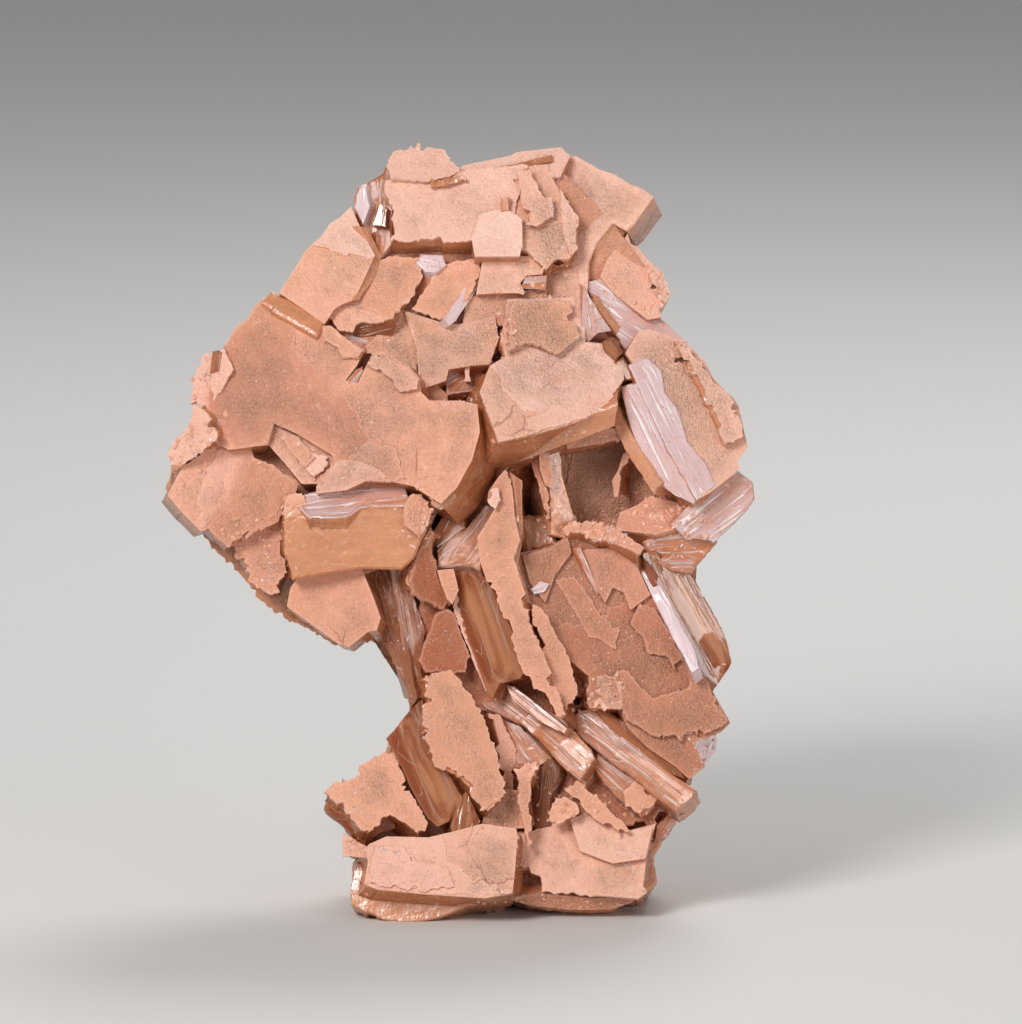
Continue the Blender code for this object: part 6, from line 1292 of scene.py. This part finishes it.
def cleavageMaterial():
    # Bare crystal broken along its cleavage: shiny flat facets, amber inside, with a painted lilac sheen and
    # painted white highlight lines on top
    tree, shader, place, look, grow, made = newMaterial(materialNames["cleavage"], crystalNoises)
    broken = addNode(tree, "ShaderNodeSeparateXYZ", {0: facets(tree, grow, (0.28, 0.85, 1.0))})
    soft = streaks(tree, grow, (0.10, 0.9, 1.0), 4.0, 0.35, 0.65)
    bands = streaks(tree, grow, (0.07, 0.75, 1.0), 4.0, 0.34, 0.66)
    fine = streaks(tree, grow, (0.16, 4.0, 1.0), 2.0, 0.54, 0.66)
    cracks = fractures(tree, grow, (0.4, 1.0, 1.0), 0.035)
    # the tone sets how much painted sheen shows: the lilac layer is a painted reflection sheen, the pale
    # layer for a high tone adds to it, and the white layer paints highlight streaks
    shown = addNode(tree, "ShaderNodeMath", {0: look["X"], 1: 0.5, 2: 0.5}, operation='MULTIPLY_ADD',
                    use_clamp=True)
    lilacSheen = addNode(tree, "ShaderNodeMath", {0: bands, 1: shown}, operation='ADD')
    whiteSheen = addNode(tree, "ShaderNodeMath", {0: fine, 1: shown}, operation='MULTIPLY')
    colour = layered(tree, "#c47444", [
        (soft, 0.5, 0, "#8a4526"), (made["cloud"], 0.5, 0, "#d28e62"), (broken, 0.2, 0, "#9c5230"),
        (look["X"], -0.9, -0.25, "#6b3a24"), (lilacSheen, 1.4, -1.26, "#cda69f"),
        (look["X"], 1.2, -0.36, "#e3c8ca"), (whiteSheen, 1, 0, "#fbf0f0"), (cracks, 0.7, 0, "#f3d8c8")])
    tree.links.new(colour, shader.inputs["Base Color"])
    shader.inputs["IOR"].default_value = 1.7
    shader.inputs["Subsurface Weight"].default_value = 0.2
    shader.inputs["Subsurface Radius"].default_value = (1.0, 0.5, 0.3)
    shader.inputs["Subsurface Scale"].default_value = 0.6 * mm
    rough = addNode(tree, "ShaderNodeMapRange", {"Value": made["gloss"], 3: 0.18, 4: 0.42})
    tree.links.new(rough, shader.inputs["Roughness"])
    height = addNode(tree, "ShaderNodeMath", {0: soft, 1: 0.3, 2: fine}, operation='MULTIPLY_ADD')
    bump = addNode(tree, "ShaderNodeBump", {"Height": height, "Strength": 0.7, "Distance": 0.12 * mm})
    tree.links.new(bump, shader.inputs["Normal"])


def clearMaterial():
    # Clear amber crystal: light passes into it and comes out orange, and its faces shine
    tree, shader, place, look, grow, made = newMaterial(materialNames["clear"], crystalNoises)
    lines = streaks(tree, grow, (0.10, 2.6, 1.0), 3.0, 0.55, 0.70)
    shade = streaks(tree, grow, (0.05, 0.6, 1.0), 3.0, 0.36, 0.56)
    cracks = fractures(tree, grow, (0.35, 0.9, 1.0), 0.025)
    # the pale lengthwise lines are partly growth lines, partly painted glints
    colour = layered(tree, "#e39a6c", [
        (shade, 1, 0, "#ad5a32"), (lines, 0.4, 0, "#f6d3b6"), (cracks, 0.7, 0, "#f9dcc4")])
    tree.links.new(colour, shader.inputs["Base Color"])
    shader.inputs["IOR"].default_value = 1.6
    shader.inputs["Transmission Weight"].default_value = 0.45
    rough = addNode(tree, "ShaderNodeMapRange", {"Value": made["gloss"], 3: 0.03, 4: 0.18})
    tree.links.new(rough, shader.inputs["Roughness"])
    bump = addNode(tree, "ShaderNodeBump", {"Height": lines, "Strength": 0.7, "Distance": 0.04 * mm})
    tree.links.new(bump, shader.inputs["Normal"])
    volume = addNode(tree, "ShaderNodeVolumeAbsorption", {"Color": "#f0a868", "Density": 50.0})
    tree.links.new(volume, tree.nodes["Material Output"].inputs["Volume"])


def evaluatedMesh(thing):
    graph = bpy.context.evaluated_depsgraph_get()
    graph.update()
    return bpy.data.meshes.new_from_object(thing.evaluated_get(graph), preserve_all_data_layers=True,
                                           depsgraph=graph)


def outerShell(mesh):       # drops the small sealed shells inside
    whole = bmesh.new()
    whole.from_mesh(mesh)
    left = set(whole.verts)
    shells = []
    while left:
        shell = [left.pop()]
        for vert in shell:
            near = {edge.other_vert(vert) for edge in vert.link_edges} & left
            left -= near
            shell.extend(near)
        shells.append(shell)
    shells.sort(key=len)
    for shell in shells[:-1]:
        bmesh.ops.delete(whole, geom=shell, context='VERTS')
    whole.to_mesh(mesh)
    whole.free()
    return len(shells)


def groundBlock():
    half, low = 60, -20
    square = ((-half, -half), (half, -half), (half, half), (-half, half))
    verts = [Vector((x, y, low)) * mm for x, y in square] + [Vector((x, y, 0)) * mm for x, y in square]
    sides = [[i, (i + 1) % 4, 4 + (i + 1) % 4, 4 + i] for i in range(4)]
    mesh = bpy.data.meshes.new("groundBlock")
    mesh.from_pydata(verts, [], [[3, 2, 1, 0], [4, 5, 6, 7]] + sides)
    withCoats(mesh, [slots["honey"]] * len(mesh.polygons))
    return bpy.data.objects.new("groundBlock", mesh)


def withBoolean(thing, operation, others, name):    # a modifier that joins others to a solid or cuts them out
    group = bpy.data.collections.new(name)
    bpy.context.scene.collection.children.link(group)
    for other in others:
        group.objects.link(other)
    change = thing.modifiers.new(name, 'BOOLEAN')
    change.operation, change.solver = operation, 'MANIFOLD'
    change.operand_type, change.collection = 'COLLECTION', group
    return group


def united(things, name):   # joins closed crystals into one surface and trims it at the ground
    first, rest = things[0], things[1:]
    bpy.context.scene.collection.objects.link(first)
    block = groundBlock()
    groups = [withBoolean(first, 'UNION', rest, name + "Grown")] if rest else []
    groups.append(withBoolean(first, 'DIFFERENCE', [block], name + "Trimmed"))
    mesh = evaluatedMesh(first)
    mesh.name = name
    for thing in things + [block]:
        bpy.data.objects.remove(thing)
    for group in groups:
        bpy.data.collections.remove(group)
    return mesh


def ahead(trees, across, up):   # what the display side shows there: distance, surface, normal and place
    inward = (standUp((0, 0, 0)) - standUp((0, 0, 1))).normalized()
    start = standUp((across, up, lookFrom))
    hits = []
    for number, tree in enumerate(trees):
        place, normal, face, distance = tree.ray_cast(start, inward)
        if place:
            hits.append((distance / mm, number, normal, place))
    return min(hits, key=lambda hit: hit[0]) if hits else None


def searchTree(mesh):
    return bvhtree.BVHTree.FromPolygons([v.co for v in mesh.vertices], [p.vertices for p in mesh.polygons])


def cutPits(meshes):        # cuts each small hole into the surface that is in front there
    trees = [searchTree(mesh) for mesh in meshes]
    cutters = [[] for mesh in meshes]
    for number, (across, up, radius, depth) in enumerate(pits):
        dice = random.Random(number + 40)
        found = ahead(trees, across, up)
        if not found:
            continue
        out = lookFrom - found[0]
        ring = []
        for corner in range(9):
            angle, reach = math.radians(corner * 40 + dice.uniform(-14, 14)), radius * dice.uniform(0.55, 1.4)
            ring.append((math.cos(angle) * reach * 1.3, math.sin(angle) * reach * 0.9))
        rings = [[Vector((across + a * wide, up + b * wide, height)) for a, b in ring]
                 for height, wide in ((out + 0.8, 1.25), (out - depth * 0.4, 0.9), (out - depth, 0.4))]
        # the cutter's dark honey tone colours the walls of the pit: painted shade in the hole
        cutters[found[1]].append(ringSolid(f"pit{number}", rings, "honey", -1.0))
    made = []
    for mesh, solids in zip(meshes, cutters):
        if not solids:
            made.append(mesh)
            continue
        thing = bpy.data.objects.new(mesh.name + "Whole", mesh)
        bpy.context.scene.collection.objects.link(thing)
        group = withBoolean(thing, 'DIFFERENCE', solids, mesh.name + "Pits")
        made.append(evaluatedMesh(thing))
        print(mesh.name, "pits:", len(solids), "faces:", len(mesh.polygons), "to", len(made[-1].polygons))
        for solid in solids + [thing]:
            bpy.data.objects.remove(solid)
        bpy.data.collections.remove(group)
    return made


def finishedPiece(mesh, name):
    low, high = np.array(cadBox[0]), np.array(cadBox[1])
    places = np.empty(len(mesh.vertices) * 3)
    mesh.vertices.foreach_get("co", places)
    places = np.clip(places.reshape(-1, 3), low, high)
    mesh.vertices.foreach_set("co", places.ravel())
    coats = np.empty(len(mesh.polygons), dtype=int)
    mesh.polygons.foreach_get("material_index", coats)
    mesh.polygons.foreach_set("use_smooth", coats <= slots["honey"])        # bare crystal faces stay flat
    mesh.set_sharp_from_angle(angle=meshing["sharp"])
    piece = bpy.data.objects.new(name, mesh)
    bpy.context.scene.collection.objects.link(piece)
    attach(piece, "root")
    return piece


def chipMesh(name, proportions, seed):      # a small angular chip
    dice = random.Random(seed)
    chip = bmesh.new()
    for corner in range(9):
        way = Vector([dice.gauss(0, 1) for axis in range(3)]).normalized() * dice.uniform(0.42, 0.5)
        chip.verts.new([way[axis] * proportions[axis] for axis in range(3)])
    bmesh.ops.convex_hull(chip, input=chip.verts)
    bmesh.ops.delete(chip, geom=[v for v in chip.verts if not v.link_faces], context='VERTS')
    bmesh.ops.recalc_face_normals(chip, faces=chip.faces)
    mesh = bpy.data.meshes.new(name)
    chip.to_mesh(mesh)
    chip.free()
    return mesh


def chipTree():     # puts the chips of a collection on points, turned to face out
    tree = bpy.data.node_groups.new("looseChips", 'GeometryNodeTree')
    tree.is_modifier = True
    for label, kind in (("Geometry", "Geometry"), ("Chips", "Collection"), ("Coat", "Material"),
                        ("Seed", "Int")):
        tree.interface.new_socket(label, in_out='INPUT', socket_type="NodeSocket" + kind)
    tree.interface.new_socket("Geometry", in_out='OUTPUT', socket_type="NodeSocketGeometry")
    given = addNode(tree, "NodeGroupInput").node.outputs
    points = addNode(tree, "GeometryNodeMeshToPoints", {"Mesh": given["Geometry"]})
    chips = addNode(tree, "GeometryNodeCollectionInfo", {
        "Collection": given["Chips"], "Separate Children": True, "Reset Children": True})
    facing = addNode(tree, "GeometryNodeInputNamedAttribute", {"Name": "facing"}, data_type='FLOAT_VECTOR')
    size = addNode(tree, "GeometryNodeInputNamedAttribute", {"Name": "size"}, data_type='FLOAT')
    turned = addNode(tree, "FunctionNodeAlignRotationToVector", {"Vector": facing}, axis='Z')
    spin = addNode(tree, "FunctionNodeRandomValue", {
        0: (-0.5, -0.5, 0), 1: (0.5, 0.5, 6.28), "Seed": given["Seed"]}, data_type='FLOAT_VECTOR')
    spin = addNode(tree, "FunctionNodeEulerToRotation", {"Euler": spin})
    turned = addNode(tree, "FunctionNodeRotateRotation", {"Rotation": turned, "Rotate By": spin},
                     rotation_space='LOCAL')
    placed = addNode(tree, "GeometryNodeInstanceOnPoints", {
        "Points": points, "Instance": chips, "Pick Instance": True, "Rotation": turned, "Scale": size})
    real = addNode(tree, "GeometryNodeRealizeInstances", {"Geometry": placed})
    coated = addNode(tree, "GeometryNodeSetMaterial", {"Geometry": real, "Material": given["Coat"]})
    addNode(tree, "NodeGroupOutput", {"Geometry": coated}, out=None)
    return tree


def loosePieces(name, spots, proportions, material, tree, seed):
    mesh = bpy.data.meshes.new(name)
    mesh.from_pydata([spot for spot, facing, size, look in spots], [], [])
    for label, kind, column in (("facing", 'FLOAT_VECTOR', 1), ("size", 'FLOAT', 2),
                                ("look", 'FLOAT_VECTOR', 3)):
        values = np.array([spot[column] for spot in spots], dtype=float).ravel()
        field = "value" if kind == 'FLOAT' else "vector"
        mesh.attributes.new(label, kind, 'POINT').data.foreach_set(field, values)
    chips = bpy.data.collections.new(name + "Chips")
    bpy.context.scene.collection.children.link(chips)
    for choice in range(sand["choices"]):
        chip = chipMesh(f"{name}Chip{choice}", proportions, seed * 10 + choice)
        chips.objects.link(bpy.data.objects.new(chip.name, chip))
    thing = bpy.data.objects.new(name + "Points", mesh)
    bpy.context.scene.collection.objects.link(thing)
    chipping = thing.modifiers.new("chips", 'NODES')
    chipping.node_group = tree
    values = {"Chips": chips, "Coat": bpy.data.materials[material], "Seed": seed}
    for socket in tree.interface.items_tree:
        if socket.name in values:
            chipping[socket.identifier] = values[socket.name]
    made = evaluatedMesh(thing)
    made.materials.clear()
    made.materials.append(bpy.data.materials[material])
    made.polygons.foreach_set("material_index", [0] * len(made.polygons))
    for chip in list(chips.objects):
        bpy.data.objects.remove(chip)
    bpy.data.collections.remove(chips)
    bpy.data.objects.remove(thing)
    return finishedPiece(made, name)


def sandSpots(pieces, count, seed):     # grains strewn over the crust, thickest where it is sandy
    dice = np.random.default_rng(seed)
    corners, faceLooks, weights = [], [], []
    for piece in pieces:
        mesh = piece.data
        mesh.calc_loop_triangles()
        triangles = mesh.loop_triangles
        places = np.empty(len(mesh.vertices) * 3)
        mesh.vertices.foreach_get("co", places)
        numbers, loops = np.empty(len(triangles) * 3, dtype=int), np.empty(len(triangles) * 3, dtype=int)
        triangles.foreach_get("vertices", numbers)
        triangles.foreach_get("loops", loops)
        coat, area = np.empty(len(triangles), dtype=int), np.empty(len(triangles))
        triangles.foreach_get("material_index", coat)
        triangles.foreach_get("area", area)
        looks = np.empty(len(mesh.loops) * 3)
        mesh.attributes["look"].data.foreach_get("vector", looks)
        looks = looks.reshape(-1, 3)[loops.reshape(-1, 3)[:, 0]]
        corners.append(places.reshape(-1, 3)[numbers.reshape(-1, 3)])
        faceLooks.append(looks)
        share = 0.35 if piece.name == "hiddenGrowth" else 1.0
        rim = np.where(looks[:, 2] > 0, sand["rim"], 1)
        weights.append(area * (coat == slots["crust"]) * (0.06 + looks[:, 1] ** 1.5) * share * rim)
    corners, faceLooks, weights = (np.concatenate(part) for part in (corners, faceLooks, weights))
    chosen = dice.choice(len(weights), size=count, p=weights / weights.sum())
    spots = []
    for number in chosen:
        a, b, c = corners[number]
        u, v = sorted(dice.random(2))
        normal = Vector(np.cross(b - a, c - a)).normalized()
        size = dice.uniform(*sand["size"]) * mm
        tone, sandy = faceLooks[number][:2]
        spots.append((Vector(a * u + b * (v - u) + c * (1 - v)) - normal * size * sand["sunk"], normal, size,
                      (tone + dice.uniform(-0.5, 0.4), sandy, 0.0)))
    return spots


def patchSpots(pieces, shape, seed):    # pieces strewn round the patches, as seen from the display side
    trees = [searchTree(piece.data) for piece in pieces]
    spots = []
    for number, (across, up, spreadX, spreadZ, count, size) in enumerate(patches[shape]):
        dice = random.Random(number + seed)
        for piece in range(count):
            found = ahead(trees, across + dice.gauss(0, spreadX), up + dice.gauss(0, spreadZ))
            long = size * dice.uniform(0.5, 1.4) * mm
            if not found or found[0] > lookFrom + sand["deepest"]:
                continue
            normal, place = found[2:]
            # sparkle pieces take a high tone, so their painted lilac-white sheen makes them bright glints
            tone = dice.uniform(0.4, 1.1) if shape == "sparkle" else dice.uniform(-0.4, 0.8)
            spots.append((place - normal * long * sand["sunk"], normal, long, (tone, 0.3, 0.0)))
    return spots


for make in (crustMaterial, honeyMaterial, cleavageMaterial, clearMaterial):
    make()

growths = {"upperGrowth": [], "middleGrowth": [], "lowerGrowth": [], "hiddenGrowth": []}
clear = []
growths["hiddenGrowth"].append(ringSolid("innerBody", innerBodyRings(), "crust", -0.4))
for name, out, deep, outline in coreLumps:
    (middle, right, up, normal), flat = displayPlate(out, (0, 0), outline)
    front = [middle + right * a + up * b for a, b in flat]
    back = [middle + (right * a + up * b) * innerBody["coreTaper"] - normal * deep for a, b in flat]
    growths["hiddenGrowth"].append(ringSolid(name, [front, back], "crust", -0.4))
seed = 0
for part, group in (("upperGrowth", topCrystals + upperLeftCrystals + leftCrystals + upperDetails),
                    ("middleGrowth", middleCrystals + rightCrystals + middleDetails),
                    ("lowerGrowth", lowerCrystals + lowerDetails)):
    for name, finish, out, lean, thick, taper, outline in group:
        seed += 1
        axes, flat = displayPlate(out, lean, outline)
        large = thick > meshing["largeFrom"]
        thing = crystalObject(name, axes, flat, thick, taper, finish, meshing["rimStep"], seed, spread=large)
        if thing is None:
            print("no face for", name)
            continue
        (clear if finish == "clear" else growths[part]).append(thing)
        if finish + "Sheet" in finishes and large:
            growths[part].extend(crustLayers(name, axes, flat, finish, meshing["rimStep"], seed))
print("display crystals:", seed)
dice = random.Random(5)
for number, plate in enumerate(largePlates + hiddenPlates()):
    fitted = fittedPlate(plate)
    if not fitted:
        continue
    axes, flat, thick = fitted
    taper = 1 / hiddenSide["taper"]
    finish = dice.choice(hiddenSide["finishes"])
    name = f"hidden{number:02d}"
    thing = crystalObject(name, axes, flat, thick, taper, finish, meshing["hiddenStep"], 500 + number)
    if thing is None:
        print("no face for", name)
        continue
    growths["hiddenGrowth"].append(thing)
    if finish + "Sheet" in finishes:
        sheets = crustLayers(name, axes, flat, finish, meshing["hiddenStep"], 500 + number)
        growths["hiddenGrowth"].extend(sheets)

grown = []
for name, things in growths.items():
    count = len(things)
    growth = united(things, name)
    print(name, "crystals:", count, "shells:", outerShell(growth), "faces:", len(growth.polygons))
    grown.append(growth)
pieces = []
for name, growth in zip(growths, cutPits(grown)):
    piece = finishedPiece(growth, name)
    pieces.append(piece)
    if name == "upperGrowth":
        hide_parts("crystal_cluster")
for thing in clear:
    name = thing.name + "Clear"
    finishedPiece(united([thing], name), name)
print("clear crystals:", len(clear))

tree = chipTree()
display = pieces[:3]
for name, spots, proportions, material, seed in (
        ("sandGrains", sandSpots(pieces, sand["count"], 8), sand["crumb"], materialNames["crust"], 1),
        ("crustGlints", sandSpots(pieces, sand["glints"], 9), sand["sparkle"], materialNames["cleavage"], 4),
        ("crustCrumbs", patchSpots(display, "crumb", 98), sand["crumb"], materialNames["crust"], 2),
        ("druseCrystals", patchSpots(display, "sparkle", 70), sand["sparkle"], materialNames["cleavage"], 3)):
    loosePieces(name, spots, proportions, material, tree, seed)
    print(name, len(spots))

# Floor, lights and camera
studio = {
    "lens": 600, "sensor": 36, "frame": 81.76 * mm, "elevation": math.radians(8),
    "key": (-0.22, -0.42, 0.29, 0.18, 2.2),        # place, size and power
    "fill": (0.32, -0.44, 0.0, 0.22, 0.95),
    "rim": (0.10, 0.30, 0.34, 0.20, 1.0),
}
floorMesh = bpy.data.meshes.new("floor")
reach = 6.0
floorMesh.from_pydata([(-reach, -reach, 0), (reach, -reach, 0), (reach, reach, 0), (-reach, reach, 0)], [],
                      [(0, 1, 2, 3)])
floor = bpy.data.objects.new("floor", floorMesh)
bpy.context.scene.collection.objects.link(floor)
paper = bpy.data.materials.new("pale_paper")       # matte paper backdrop
paper.use_nodes = True
paper.node_tree.nodes["Principled BSDF"].inputs["Base Color"].default_value = linear("#d9d7d4")
paper.node_tree.nodes["Principled BSDF"].inputs["Roughness"].default_value = 0.9
floorMesh.materials.append(paper)

world = bpy.data.worlds.new("softRoom")
bpy.context.scene.world = world
world.use_nodes = True
world.node_tree.nodes["Background"].inputs["Color"].default_value = linear("#e6e6e8")
world.node_tree.nodes["Background"].inputs["Strength"].default_value = 0.34
target = standUp(stance["viewCentre"])
for name in ("key", "fill", "rim"):
    x, y, z, size, power = studio[name]
    lamp = bpy.data.lights.new(name, 'AREA')
    lamp.size, lamp.energy = size, power
    thing = bpy.data.objects.new(name, lamp)
    thing.location = target + Vector((x, y, z))
    thing.rotation_euler = (target - thing.location).to_track_quat('-Z', 'Y').to_euler()
    bpy.context.scene.collection.objects.link(thing)

camera = bpy.data.cameras.new("camera")
camera.lens, camera.sensor_width, camera.sensor_fit = studio["lens"], studio["sensor"], 'HORIZONTAL'
camera.clip_end = 20
cameraObject = bpy.data.objects.new("camera", camera)
distance = studio["lens"] / studio["sensor"] * studio["frame"]
towards = Vector((0, -math.cos(studio["elevation"]), math.sin(studio["elevation"])))
cameraObject.location = target + towards * distance
cameraObject.rotation_euler = (target - cameraObject.location).to_track_quat('-Z', 'Y').to_euler()
bpy.context.scene.collection.objects.link(cameraObject)
bpy.context.scene.camera = cameraObject
bpy.context.scene.view_settings.view_transform = 'Standard'
